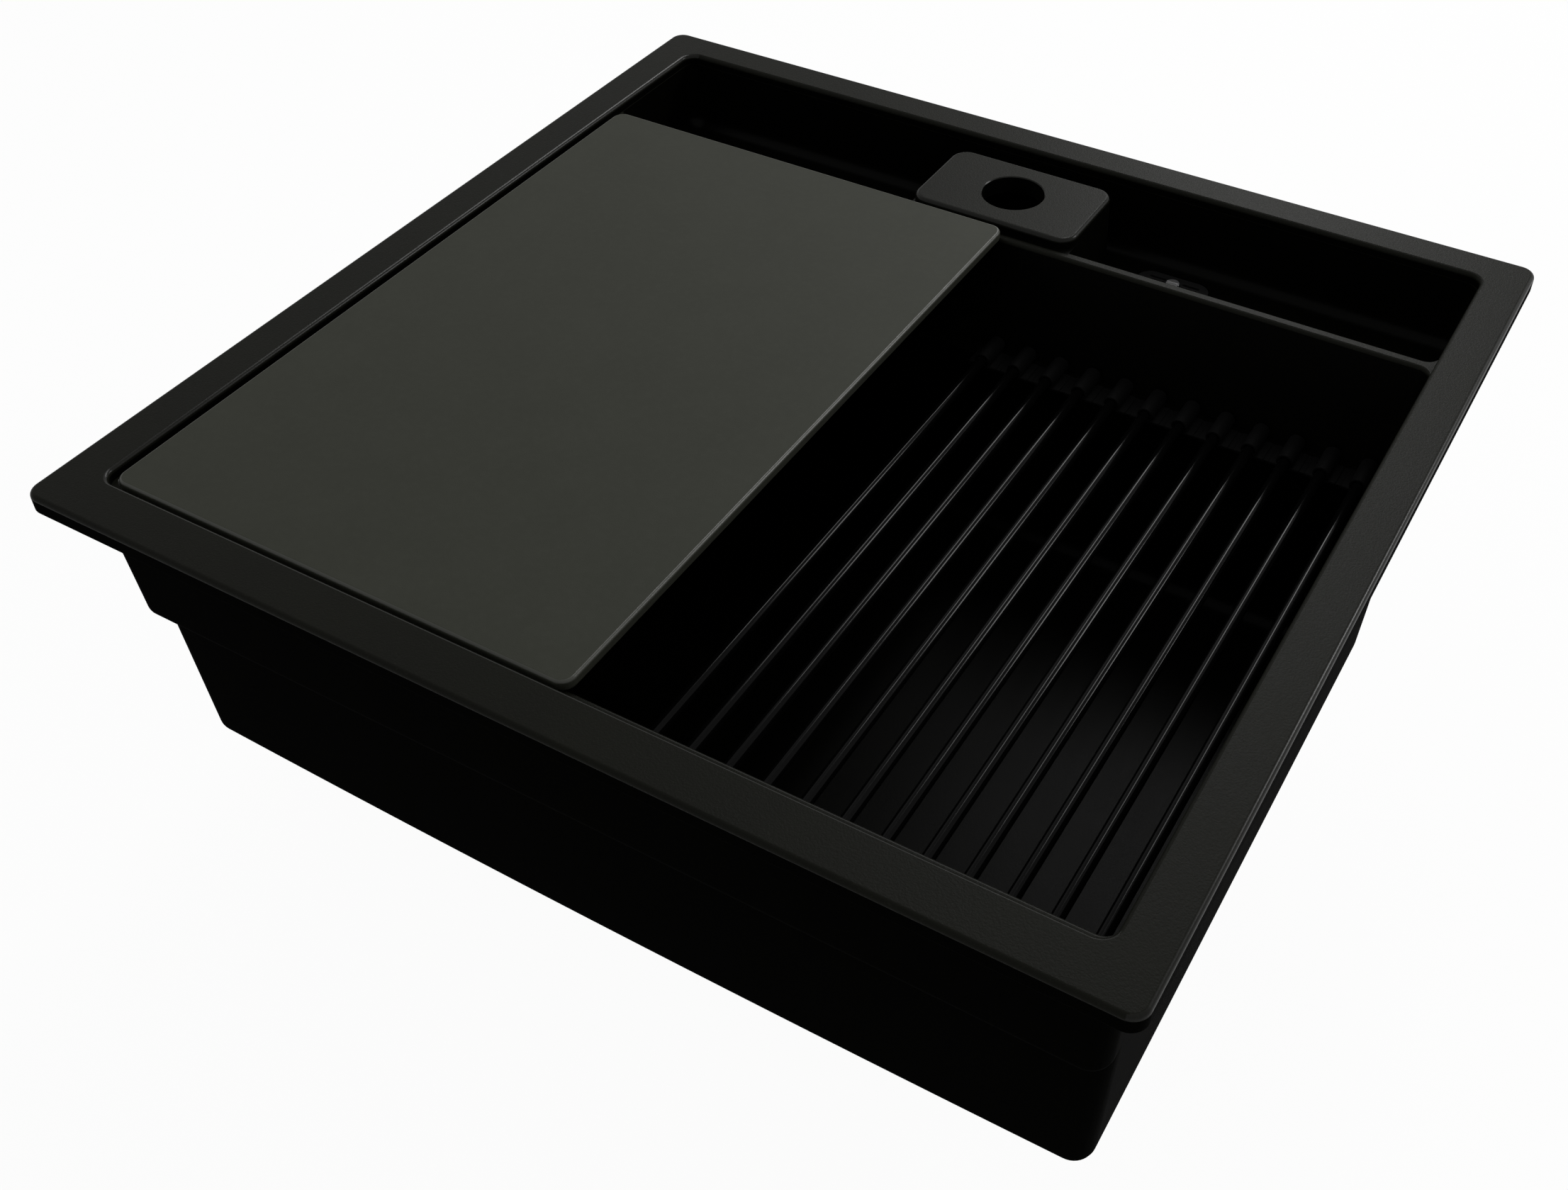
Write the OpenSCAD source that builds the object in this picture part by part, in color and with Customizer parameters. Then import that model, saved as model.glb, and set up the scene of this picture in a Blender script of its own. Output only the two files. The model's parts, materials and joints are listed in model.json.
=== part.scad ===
// Workstation kitchen sink: a moulded stone-composite bowl that hangs in a worktop by its rim,
// with a rear tray and tap pad, a sliding cutting board, a roll-up draining mat on a lower
// ledge, a basket strainer waste and a tray overflow piped to it.
//
// Frame: origin at the centre of the worktop cut-out, on the worktop's top face.
// +X to the right, +Y to the wall behind the sink, +Z up. Millimetres.

/* [Rim] */
// Width of the rim, left to right
rim_w = 543; // [500:1:620]
// Depth of the rim, front to back
rim_d = 524; // [500:1:560]
// Thickness of the rim above the seal
rim_t = 9.6; // [8:0.1:12]
// Radius of the rim's outer corners
rim_corner_r = 8; // [4:0.5:14]
// Rounding of the rim's upper edge
rim_edge_r = 2.4; // [1:0.1:3]
// Width of the rim's land on the left and the right
side_rim = 22.9; // [19:0.1:26]
// Width of the rim's land at the front
front_rim = 25.1; // [22:0.1:28]
// Width of the rim's land at the back
rear_rim = 21.5; // [20:0.1:26]
// Corner radius of the opening in the rim
opening_r = 7.5; // [4:0.5:12]
// Thickness of the sealing strip under the rim
seal_t = 1.5; // [1:0.1:3]
// Width of the sealing strip
seal_w = 6; // [4:0.1:8]

/* [Bowl] */
// Thickness of the moulded walls
wall_t = 10; // [8:0.1:10.6]
// Draft of the outer and inner walls, in degrees
wall_draft = 2.6; // [1:0.1:4]
// Depth of the bowl's floor below the rim's top
bowl_depth = 177; // [160:1:200]
// Radius of the bowl's upright inner corners
bowl_corner_r = 10; // [9:0.5:11]
// Radius between the bowl's floor and walls
floor_fillet_r = 9; // [5:0.5:9]
// Radius of the body's upright outer corners
outer_corner_r = 10.5; // [10.5:0.5:16]
// Radius along the body's outer lower edge
outer_fillet_r = 8; // [5:0.5:10]
// Radius along the lower edge of the body's outer step
step_fillet_r = 5; // [3:0.5:8]
// Thickness of the composite under the mat's ledge
step_t = 22; // [12:0.5:26]
// Thickness of the bowl's lower rear wall
rear_wall_t = 16; // [10:0.5:18]
// Rise of the underside from its middle to its left and right ends
underside_camber = 4.5; // [0:0.5:5]
// Diameter of the flat boss round the waste under the floor
waste_boss_d = 120; // [116:1:130]
// Depth of the ledge that carries the cutting board
board_ledge_drop = 6; // [5:0.1:8]
// Width of the board's ledge at the front
front_board_ledge_w = 5.7; // [3:0.1:6.5]
// Depth of the ledge that carries the mat
mat_ledge_drop = 65; // [62:0.5:80]
// Width of the mat's ledge at the front
front_mat_ledge_w = 9.8; // [5:0.1:12]
// Width of the mat's ledge at the back
rear_mat_ledge_w = 9.5; // [7:0.1:12]
// Lean of the bowl's upper rear wall, from the divider's top to the mat's ledge
rear_wall_lean = 15.6; // [8:0.1:18]

/* [Tray] */
// Distance from the rim's rear edge to the divider's front edge
divider_back = 107.1; // [102:0.1:119]
// Thickness of the divider at its top
divider_t = 7.3; // [6:0.1:9]
// Depth of the tray's floor below the rim's top
tray_depth = 46; // [40:0.5:50]
// Radius of the tray's upright corners
tray_corner_r = 10; // [9:0.5:14]
// Radius between the tray's floor and walls
tray_fillet_r = 8; // [4:0.5:10]
// Thickness of the tray's rear wall
tray_rear_wall_t = 8.5; // [8:0.1:9.4]

/* [Tap pad] */
// Width of the raised pad that carries the tap
pad_w = 97.8; // [80:0.1:120]
// Depth of the pad's top
pad_d = 60.7; // [56:0.1:64]
// Corner radius of the pad's top
pad_r = 10; // [6:0.5:14]
// Step from the divider's front edge back to the pad's front edge
pad_step = 6.4; // [5.5:0.1:9]
// Wall of the hollow pad
pad_wall = 8; // [6:0.1:9]
// Thickness of the pad's top plate, the length of the tap hole
pad_top_t = 10; // [8:0.1:12]
// Diameter of the tap hole
tap_hole_d = 35; // [32:0.1:36]
// Distance from the pad's centre back to the tap hole's centre
tap_hole_back = 0.6; // [0:0.1:4]

/* [Cutting board] */
// Width of the board, along the sink's width
board_w = 255.2; // [220:0.1:300]
// Thickness of the board
board_t = 6; // [5:0.1:8]
// Corner radius of the board
board_r = 7; // [3:0.5:12]
// Rounding of the board's edges
board_edge_r = 1.8; // [0.5:0.1:2]
// Gap between the board and the rim's left side at rest
board_side_gap = 5.1; // [2:0.1:12]
// Gap between the board's front edge and the rim
board_front_gap = 1.9; // [0.6:0.1:2]
// Gap between the board's rear edge and the tap pad
board_rear_gap = 3.2; // [0.6:0.1:4]

/* [Draining mat] */
// Diameter of the mat's bars
bar_d = 6; // [5:0.1:7]
// Distance from one bar to the next
bar_pitch = 19.2; // [18.5:0.1:19.8]
// Length of each silicone grip along its bar
grip_len = 20; // [16:0.5:30]
// Diameter of the grip's sleeve round the bar
grip_d = 8.8; // [8:0.1:10]
// Thickness of the grip's flat web
web_t = 2; // [1.5:0.1:2.5]
// Distance that the sleeve stands out beyond its web
web_inset = 4; // [3:0.5:8]
// Gap where one web ends and the next begins, the line on which the mat bends
hinge_gap = 2.4; // [2:0.1:3]
// Gap between the mat and the walls at its front and back ends
mat_end_gap = 1.2; // [0.5:0.1:2]
// Gap between the mat's right end and the wall beside it
mat_side_gap = 4.2; // [2:0.1:10]
// Running gap between the mat's underside and its ledge
mat_float = 0.3; // [0.2:0.05:0.5]

/* [Waste] */
// Distance of the waste from the rim's left edge
waste_left = 111.5; // [105:0.5:121]
// Distance of the waste from the sink's centre, to the front
waste_front = 47; // [30:1:60]
// Diameter of the hole in the bowl's floor
waste_hole_d = 90; // [88:0.5:92]
// Diameter of the waste's flange
flange_d = 114; // [110:0.5:118]
// Thickness of the flange's sheet metal
flange_t = 1.4; // [1:0.1:2]
// Thickness of the gasket under the flange
gasket_t = 1.5; // [1:0.1:2.5]
// Outer diameter of the strainer cup
cup_d = 87; // [82:0.5:88]
// Wall of the strainer cup
cup_t = 1.2; // [1:0.1:1.6]
// Depth of the strainer cup
cup_depth = 34; // [30:0.5:40]
// Diameter of the drain opening in the cup's bottom
drain_d = 48; // [40:0.5:52]
// Thickness of the lower gasket under the bowl
lower_gasket_t = 3; // [2:0.1:4]
// Outer diameter of the waste body's chamber
chamber_d = 100; // [96:0.5:104]
// Wall of the waste body
chamber_wall = 3; // [2.5:0.1:4]
// Depth of the waste body below its flange
chamber_depth = 45; // [42:0.5:60]
// Outer diameter of the outlet
outlet_d = 47.8; // [46:0.1:49]
// Distance from the waste body's flange down to the axis of its hose port
port_drop = 21; // [18:0.5:24]
// Length of the outlet below the chamber
outlet_len = 33; // [25:0.5:45]
// Diameter of the central clamping screw
screw_d = 6; // [5:0.1:7]

/* [Basket] */
// Side gap between the basket and the strainer cup
basket_gap = 1.3; // [0.8:0.1:2]
// Wall of the basket
basket_t = 1; // [0.8:0.1:1.4]
// Depth of the basket
basket_depth = 22; // [16:0.5:24]
// Diameter of the round holes in the basket
basket_hole_d = 4; // [3:0.1:5]
// Thickness of the basket's rubber seal
basket_seal_t = 3; // [2.5:0.1:4]
// Diameter of the basket's knob
knob_d = 17; // [14:0.5:22]
// Height of the knob above the basket's floor
knob_h = 21; // [18:0.5:26]

/* [Overflow] */
// Distance of the tray outlet from the sink's centre, to the right
outlet_right = 90; // [80:1:110]
// Distance of the tray outlet from the rim's back edge
outlet_back = 43; // [38:0.5:44]
// Length of the slot in the tray's floor
slot_len = 34; // [28:0.5:40]
// Width of the slot in the tray's floor
slot_w = 9; // [8:0.1:11]
// Border of the cover round the slot
cover_border = 4; // [3:0.1:6]
// Thickness of the cover
cover_t = 1.4; // [1:0.1:2]
// Outer diameter of the hose spigots
spigot_d = 19; // [18:0.1:20]
// Wall of the hose spigots
spigot_wall = 2; // [1.5:0.1:2.5]
// Length of the hose spigots
spigot_len = 22; // [18:0.5:24]
// Outer diameter of the hose, over its ribs
hose_d = 25; // [24:0.1:26]
// Distance from one rib of the hose to the next
rib_pitch = 4.4; // [4.2:0.1:6]

/* [Hidden] */

bar_count = 12;
$fn = 64;
HULL_FN = 32;
CUT = 1;
SLAB = 0.02;
// Side offset that keeps two cuts' walls out of one plane
NUDGE = 0.3;

// Levels
rim_bottom_z = seal_t;
rim_top_z = seal_t + rim_t;
board_z = rim_top_z - board_ledge_drop;
mat_ledge_z = rim_top_z - mat_ledge_drop;
floor_z = rim_top_z - bowl_depth;
tray_z = rim_top_z - tray_depth;
step_z = mat_ledge_z - step_t;
bottom_z = floor_z - wall_t;
tray_bottom_z = tray_z - wall_t;

// Plan: half widths, and places measured from the centre line between front and back
side_x = rim_w / 2 - side_rim;
outer_x = side_x + wall_t;
front_y = -rim_d / 2 + front_rim;
rear_y = rim_d / 2 - rear_rim;
outer_rear_y = rear_y + tray_rear_wall_t;
div_front_y = rim_d / 2 - divider_back;
div_rear_y = div_front_y + divider_t;
bowl_front_y = front_y + front_board_ledge_w;
outer_front_y = bowl_front_y - wall_t;
pad_front_y = div_front_y + pad_step;
pad_rear_y = pad_front_y + pad_d;

// Inward lean of a drafted wall over a height
function lean(h) = h * tan(wall_draft);

upper_h = mat_ledge_drop - board_ledge_drop;
lower_h = bowl_depth - mat_ledge_drop;
ledge_x = side_x - NUDGE - lean(upper_h);
ledge_front_y = bowl_front_y + lean(upper_h);
ledge_rear_y = div_front_y - rear_wall_lean;
low_x = ledge_x - NUDGE;
low_front_y = ledge_front_y + front_mat_ledge_w;
low_rear_y = ledge_rear_y - rear_mat_ledge_w;

// Cutting board
board_front_y = front_y + board_front_gap;
board_len = pad_front_y - board_rear_gap - board_front_y;
board_left_x = -side_x + board_side_gap;

// Mat
mat_front_y = ledge_front_y + mat_end_gap;
mat_rear_y = ledge_rear_y - mat_end_gap;
mat_len = mat_rear_y - mat_front_y;
mat_z = mat_ledge_z + mat_float;
web_len = bar_pitch - hinge_gap;
bar_last_x = ledge_x - mat_side_gap - web_len / 2;
bar_end_cap = 2;
bar_fit = 0.05;

// Waste, all on one upright axis
waste_x = waste_left - rim_w / 2;
waste_y = -waste_front;
recess_depth = flange_t + gasket_t + 0.3;
recess_gap = 0.8;
flange_top_z = floor_z - 0.3;
cup_bottom_z = flange_top_z - cup_depth;
spider_drop = 2.5;
spider_t = 4;
spider_top_z = cup_bottom_z + cup_t - spider_drop;
hub_d = 14;
arm_w = 4;
chamber_top_z = bottom_z - lower_gasket_t;
chamber_flange_t = 4;
chamber_bottom_z = chamber_top_z - chamber_flange_t - chamber_depth;
outlet_wall = 3.5;
outlet_bottom_z = chamber_bottom_z - outlet_len;
screw_head_d = 11;
screw_head_t = 3;
screw_slot = 1.2;
screw_fit = 0.05;
port_z = chamber_top_z - chamber_flange_t - port_drop;
port_y = waste_y + chamber_d / 2;

// Basket, seated on its seal in the cup
basket_d = cup_d - 2 * cup_t - 2 * basket_gap;
cup_floor_z = cup_bottom_z + cup_t;
basket_z = cup_floor_z + basket_seal_t;
basket_taper = 3;
knob_stem_r = 2;
knob_fit = 0.05;

// Overflow
slot_x = outlet_right;
slot_y = rim_d / 2 - outlet_back;
cover_gap = 0.5;
cover_drop = 0.2;
oseal_t = 2;
oseal_border = 6;
elbow_flange_t = 3;
elbow_depth = 20;
elbow_top_z = tray_bottom_z - oseal_t;
elbow_bottom_z = elbow_top_z - elbow_flange_t - elbow_depth;
oscrew_d = 4;
oscrew_head_d = 7.5;
oscrew_head_t = 1.6;
oscrew_slot = 1;
oscrew_grip = 8;
cover_hole_gap = 0.4;
spigot_tip_z = elbow_bottom_z - spigot_len;

// Hose
hose_bore_d = spigot_d + 0.4;
rib_depth = 1;
hose_sides = 8;
hose_push = 14;
nut_len = 14;
nut_gap = 0.4;
nut_wall = 2.6;
nut_over = 1;

// ---------------------------------------------------------------- shared shapes

// A rounded rectangle between two corners, as two bars and four discs, so that its arcs are true
module plate_outline(x0, x1, y0, y1, r, fn = HULL_FN) {
    translate([x0, y0 + r]) square([x1 - x0, y1 - y0 - 2 * r]);
    translate([x0 + r, y0]) square([x1 - x0 - 2 * r, y1 - y0]);
    for (x = [x0 + r, x1 - r])
        for (y = [y0 + r, y1 - r])
            translate([x, y]) circle(r, $fn = fn);
}

// One thin layer of a hulled block: [x0, x1, y0, y1, r] at a height
module layer(b, z) {
    translate([0, 0, z])
        linear_extrude(SLAB)
            plate_outline(b[0], b[1], b[2], b[3], b[4]);
}

// The same outline moved in by e on every side
function shrunk(b, e) = [b[0] + e, b[1] - e, b[2] + e, b[3] - e, max(b[4] - e, 0.5)];

// A block that tapers from one outline to another, with a rounded lower edge
module tapered_block(top, bottom, z_top, z_bottom, fillet = 0) {
    hull() {
        layer(top, z_top - SLAB);
        layer(bottom, z_bottom + fillet);
        if (fillet > 0)
            for (a = [22.5:22.5:90])
                layer(shrunk(bottom, fillet * (1 - cos(a))), z_bottom + fillet * (1 - sin(a)));
    }
}

// The same block, its underside lowest in the middle and rising to its left and right ends
module cambered_block(top, bottom, z_top, z_bottom, fillet) {
    ends_z = z_bottom + underside_camber;
    hull() {
        layer(top, z_top - SLAB);
        layer(bottom, ends_z + fillet);
        for (a = [22.5:22.5:90]) {
            b = shrunk(bottom, fillet * (1 - cos(a)));
            up = fillet * (1 - sin(a));
            layer(b, ends_z + up);
            for (s = [0.25:0.25:0.75])
                translate([b[0] * s, b[2], z_bottom + underside_camber * s * s + up])
                    cube([2 * b[1] * s, b[3] - b[2], SLAB]);
        }
    }
}

// An outline with two round ends along X, centred
module slot_outline(len, w) {
    square([len - w, w], center = true);
    for (s = [-1, 1])
        translate([s * (len - w) / 2, 0]) circle(w / 2);
}

module ring(r_out, r_in, h) {
    difference() {
        cylinder(r = r_out, h = h);
        translate([0, 0, -CUT]) cylinder(r = r_in, h = h + 2 * CUT);
    }
}

// ---------------------------------------------------------------- sink body

module rim_plate() {
    rim_box = [-rim_w / 2, rim_w / 2, -rim_d / 2, rim_d / 2, rim_corner_r];
    hull() {
        layer(rim_box, rim_bottom_z);
        layer(rim_box, rim_top_z - rim_edge_r);
        for (a = [30:30:90])
            layer(shrunk(rim_box, rim_edge_r * (1 - cos(a))),
                rim_top_z - SLAB - rim_edge_r * (1 - sin(a)));
    }
}

module outer_shell() {
    r_out = outer_corner_r;
    tray_front_y = ledge_rear_y - 3 * r_out;
    up = step_z - rim_bottom_z;
    down = bottom_z - step_z;
    upper_top = [-outer_x, outer_x, outer_front_y, ledge_rear_y + wall_t + NUDGE, r_out];
    upper_in = lean(-up);
    upper_bottom = [-outer_x + upper_in, outer_x - upper_in, outer_front_y + upper_in,
        ledge_rear_y + wall_t, r_out];
    lower_in = lean(-down);
    lower_x = low_x + wall_t;
    lower_top = [-lower_x, lower_x, low_front_y - wall_t, low_rear_y + rear_wall_t, r_out];
    lower_bottom = [-lower_x + lower_in, lower_x - lower_in, low_front_y - wall_t + lower_in,
        low_rear_y + rear_wall_t - lower_in, r_out];
    tray_in = lean(rim_bottom_z - tray_bottom_z);
    tray_top = [-outer_x + NUDGE, outer_x - NUDGE, tray_front_y, outer_rear_y, r_out];
    tray_bottom = [-outer_x + NUDGE + tray_in, outer_x - NUDGE - tray_in, tray_front_y,
        outer_rear_y - tray_in, r_out];
    tapered_block(upper_top, upper_bottom, rim_bottom_z + CUT, step_z, step_fillet_r);
    cambered_block(lower_top, lower_bottom, mat_ledge_z - CUT, bottom_z, outer_fillet_r);
    tapered_block(tray_top, tray_bottom, rim_bottom_z + CUT, tray_bottom_z, tray_fillet_r);
}

module bowl_cavity() {
    upper_top = [-side_x + NUDGE, side_x - NUDGE, bowl_front_y, div_front_y, opening_r];
    upper_bottom = [-ledge_x, ledge_x, ledge_front_y, ledge_rear_y, bowl_corner_r];
    low_in = lean(lower_h);
    lower_top = [-low_x, low_x, low_front_y, low_rear_y, bowl_corner_r];
    lower_bottom = [-low_x + low_in, low_x - low_in, low_front_y + low_in,
        low_rear_y - low_in, bowl_corner_r];
    tapered_block(upper_top, upper_bottom, board_z + CUT, mat_ledge_z);
    tapered_block(lower_top, lower_bottom, mat_ledge_z + CUT, floor_z, floor_fillet_r);
}

module tray_cavity() {
    inward = lean(tray_depth - board_ledge_drop);
    top = [-side_x + NUDGE, side_x - NUDGE, div_rear_y, rear_y - NUDGE, opening_r];
    bottom = [-side_x + NUDGE + inward, side_x - NUDGE - inward, div_rear_y + inward,
        rear_y - NUDGE - inward, tray_corner_r];
    tapered_block(top, bottom, board_z + CUT, tray_z, tray_fillet_r);
}

module rim_opening() {
    translate([0, 0, board_z])
        linear_extrude(rim_top_z - board_z + CUT)
            plate_outline(-side_x, side_x, front_y, rear_y, opening_r);
}

// The waste clamps on a flat boss, because the underside is cambered
module waste_boss() {
    translate([waste_x, waste_y, bottom_z])
        cylinder(d = waste_boss_d, h = floor_z - bottom_z - CUT);
}

// The pad flares down to the tray's floor, and its front stands on the divider
module tap_pad() {
    flare = 1 + 2 * lean(tray_depth) / pad_d;
    translate([0, (pad_front_y + pad_rear_y) / 2, rim_top_z])
        mirror([0, 0, 1])
            linear_extrude(tray_depth + CUT, scale = [flare, flare])
                plate_outline(-pad_w / 2, pad_w / 2, -pad_d / 2, pad_d / 2, pad_r);
}

// The divider widens into a foot in front of the pad
module pad_foot() {
    overlap = 3;
    foot_x = pad_w / 2 + lean(board_ledge_drop);
    translate([-foot_x, div_rear_y - overlap, tray_z - CUT])
        cube([2 * foot_x, pad_front_y - div_rear_y + 2 * overlap + pad_r, board_z - tray_z + CUT]);
}

module tap_pad_hollow() {
    mid_y = (pad_front_y + pad_rear_y) / 2;
    under = rim_top_z - pad_top_t;
    translate([0, mid_y, tray_bottom_z - CUT])
        linear_extrude(under - tray_bottom_z + CUT)
            plate_outline(-pad_w / 2 + pad_wall, pad_w / 2 - pad_wall,
                -pad_d / 2 + pad_wall, pad_d / 2 - pad_wall, pad_r - pad_wall / 2);
    translate([0, mid_y + tap_hole_back, under - CUT])
        cylinder(d = tap_hole_d, h = pad_top_t + 2 * CUT);
}

module waste_hole() {
    translate([waste_x, waste_y, bottom_z - CUT])
        cylinder(d = waste_hole_d, h = wall_t + 2 * CUT);
    translate([waste_x, waste_y, floor_z - recess_depth])
        cylinder(d = flange_d + 2 * recess_gap, h = recess_depth + CUT);
}

module tray_slot() {
    translate([slot_x, slot_y, tray_bottom_z - CUT])
        linear_extrude(wall_t + 2 * CUT)
            slot_outline(slot_len, slot_w);
    translate([slot_x, slot_y, tray_z - cover_t - cover_drop])
        linear_extrude(cover_t + cover_drop + CUT)
            slot_outline(slot_len + 2 * (cover_border + cover_gap),
                slot_w + 2 * (cover_border + cover_gap));
}

module sink_body() {
    color([0.17, 0.17, 0.16])
        difference() {
            union() {
                difference() {
                    union() {
                        rim_plate();
                        outer_shell();
                    }
                    rim_opening();
                    bowl_cavity();
                    tray_cavity();
                }
                waste_boss();
                tap_pad();
                pad_foot();
            }
            tap_pad_hollow();
            waste_hole();
            tray_slot();
        }
}

module rim_seal() {
    inset = 4;
    inner_r = 3;
    x = rim_w / 2 - inset;
    y = rim_d / 2 - inset;
    color([0.08, 0.08, 0.08])
        linear_extrude(seal_t)
            difference() {
                plate_outline(-x, x, -y, y, rim_corner_r, $fn);
                plate_outline(-x + seal_w, x - seal_w, -y + seal_w, y - seal_w, inner_r, $fn);
            }
}

// ---------------------------------------------------------------- cutting board

module cutting_board() {
    b = [board_left_x, board_left_x + board_w, board_front_y, board_front_y + board_len, board_r];
    e = board_edge_r;
    color([0.24, 0.24, 0.22])
        hull() {
            layer(shrunk(b, e), board_z);
            layer(shrunk(b, e * 0.3), board_z + e * 0.3);
            layer(b, board_z + e);
            layer(b, board_z + board_t - e);
            layer(shrunk(b, e * 0.3), board_z + board_t - e * 0.3);
            layer(shrunk(b, e), board_z + board_t - SLAB);
        }
}

// ---------------------------------------------------------------- draining mat

function bar_x(i) = bar_last_x - (bar_count - i) * bar_pitch;

module mat_bar(i) {
    color([0.12, 0.12, 0.12])
        translate([bar_x(i), mat_front_y + bar_end_cap, mat_z + grip_d / 2])
            rotate([-90, 0, 0])
                cylinder(d = bar_d, h = mat_len - 2 * bar_end_cap);
}

// A sleeve round the bar's end and the flat web that joins it to its neighbours
module grip(end_y, inward) {
    translate([0, end_y, 0])
        rotate([90, 0, 0])
            mirror([0, 0, inward > 0 ? 1 : 0])
                difference() {
                    union() {
                        translate([0, grip_d / 2, 0]) cylinder(d = grip_d, h = grip_len);
                        translate([-web_len / 2, 0, web_inset])
                            cube([web_len, web_t, grip_len - web_inset]);
                    }
                    translate([0, grip_d / 2, bar_end_cap])
                        cylinder(d = bar_d + 2 * bar_fit, h = grip_len);
                }
}

module mat_grips(i) {
    color([0.1, 0.1, 0.1])
        translate([bar_x(i), 0, mat_z]) {
            grip(mat_front_y, 1);
            grip(mat_rear_y, -1);
        }
}

// ---------------------------------------------------------------- waste

module flange_gasket() {
    inset = 1;
    bore_gap = 0.5;
    color([0.1, 0.1, 0.1])
        translate([waste_x, waste_y, floor_z - recess_depth])
            ring(flange_d / 2 - inset, cup_d / 2 + bore_gap, gasket_t);
}

module spider(r, z, t, bore) {
    translate([0, 0, z])
        difference() {
            union() {
                cylinder(d = hub_d, h = t);
                for (a = [0, 90])
                    rotate(a)
                        translate([-r, -arm_w / 2, 0]) cube([2 * r, arm_w, t]);
            }
            translate([0, 0, -CUT]) cylinder(d = bore, h = t + 2 * CUT);
        }
}

module strainer_cup() {
    r = cup_d / 2;
    f = flange_d / 2;
    zb = cup_bottom_z;
    zt = flange_top_z;
    rd = drain_d / 2;
    collar_bottom = spider_top_z - spider_t;
    color([0.13, 0.13, 0.13])
        translate([waste_x, waste_y, 0]) {
            rotate_extrude()
                polygon([
                    [rd, collar_bottom], [rd + cup_t, collar_bottom], [rd + cup_t, zb], [r, zb],
                    [r, zt - flange_t], [f, zt - flange_t], [f, zt], [r - cup_t, zt],
                    [r - cup_t, zb + cup_t], [rd, zb + cup_t]]);
            spider(rd + cup_t / 2, collar_bottom, spider_t, screw_d + 2 * screw_fit);
        }
}

// A slotted head with its shank down to a tip
module slotted_screw(d, head_d, head_t, seat_z, tip_z, slot) {
    slot_depth = head_t * 0.45;
    difference() {
        union() {
            translate([0, 0, tip_z]) cylinder(d = d, h = seat_z - tip_z);
            translate([0, 0, seat_z]) cylinder(d = head_d, h = head_t);
        }
        translate([-head_d, -slot / 2, seat_z + head_t - slot_depth])
            cube([2 * head_d, slot, slot_depth + CUT]);
    }
}

module waste_screw() {
    color([0.6, 0.6, 0.6])
        translate([waste_x, waste_y, 0])
            slotted_screw(screw_d, screw_head_d, screw_head_t, spider_top_z,
                chamber_bottom_z - spider_t, screw_slot);
}

module lower_gasket() {
    bore_gap = 2;
    color([0.08, 0.08, 0.08])
        translate([waste_x, waste_y, chamber_top_z])
            ring(flange_d / 2, cup_d / 2 + bore_gap, lower_gasket_t);
}

module waste_body() {
    rc = chamber_d / 2;
    f = flange_d / 2;
    ro = outlet_d / 2;
    ri = ro - outlet_wall;
    zf = chamber_top_z - chamber_flange_t;
    zc = chamber_bottom_z;
    zo = outlet_bottom_z;
    w = chamber_wall;
    bevel = 6;
    color([0.12, 0.12, 0.13])
        translate([waste_x, waste_y, 0]) {
            difference() {
                union() {
                    rotate_extrude()
                        polygon([
                            [ri, zo], [ro, zo], [ro, zc], [rc, zc + bevel], [rc, zf],
                            [f, zf], [f, chamber_top_z], [rc - w, chamber_top_z],
                            [rc - w, zc + bevel + w],
                            [ri, zc + w]]);
                    translate([0, rc - w / 2, port_z])
                        rotate([-90, 0, 0])
                            cylinder(d = spigot_d, h = spigot_len + w / 2);
                }
                translate([0, rc - 2 * w, port_z])
                    rotate([-90, 0, 0])
                        cylinder(d = spigot_d - 2 * spigot_wall, h = spigot_len + 3 * w);
            }
            spider(ri + outlet_wall / 2, zc - spider_t, spider_t, screw_d + 2 * screw_fit);
        }
}

// ---------------------------------------------------------------- basket

module basket() {
    rt = basket_d / 2;
    rb = rt - basket_taper;
    zb = basket_z;
    zt = basket_z + basket_depth;
    t = basket_t;
    lip = 1;
    hole_count = 20;
    hole_fn = 24;
    floor_hole_r = rb - 5.5;
    stem_hole_r = knob_stem_r + knob_fit;
    color([0.13, 0.13, 0.13])
        translate([waste_x, waste_y, 0])
            difference() {
                rotate_extrude()
                    polygon([
                        [stem_hole_r, zb], [rb, zb], [rt - lip, zt - t], [rt, zt - t], [rt, zt],
                        [rt - lip - t, zt], [rb - t, zb + t], [stem_hole_r, zb + t]]);
                for (j = [0:hole_count - 1])
                    rotate(360 * j / hole_count) {
                        translate([floor_hole_r, 0, zb - CUT])
                            cylinder(d = basket_hole_d, h = t + 2 * CUT, $fn = hole_fn);
                        for (row = [0.35, 0.68])
                            translate([rb - basket_hole_d, 0, zb + row * basket_depth])
                                rotate([0, 90, 0])
                                    cylinder(d = basket_hole_d, h = 2 * basket_hole_d, $fn = hole_fn);
                    }
            }
}

module basket_seal() {
    half_w = 3;
    color([0.07, 0.07, 0.07])
        translate([waste_x, waste_y, cup_floor_z])
            ring(drain_d / 2 + half_w, drain_d / 2 - half_w, basket_seal_t);
}

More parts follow.
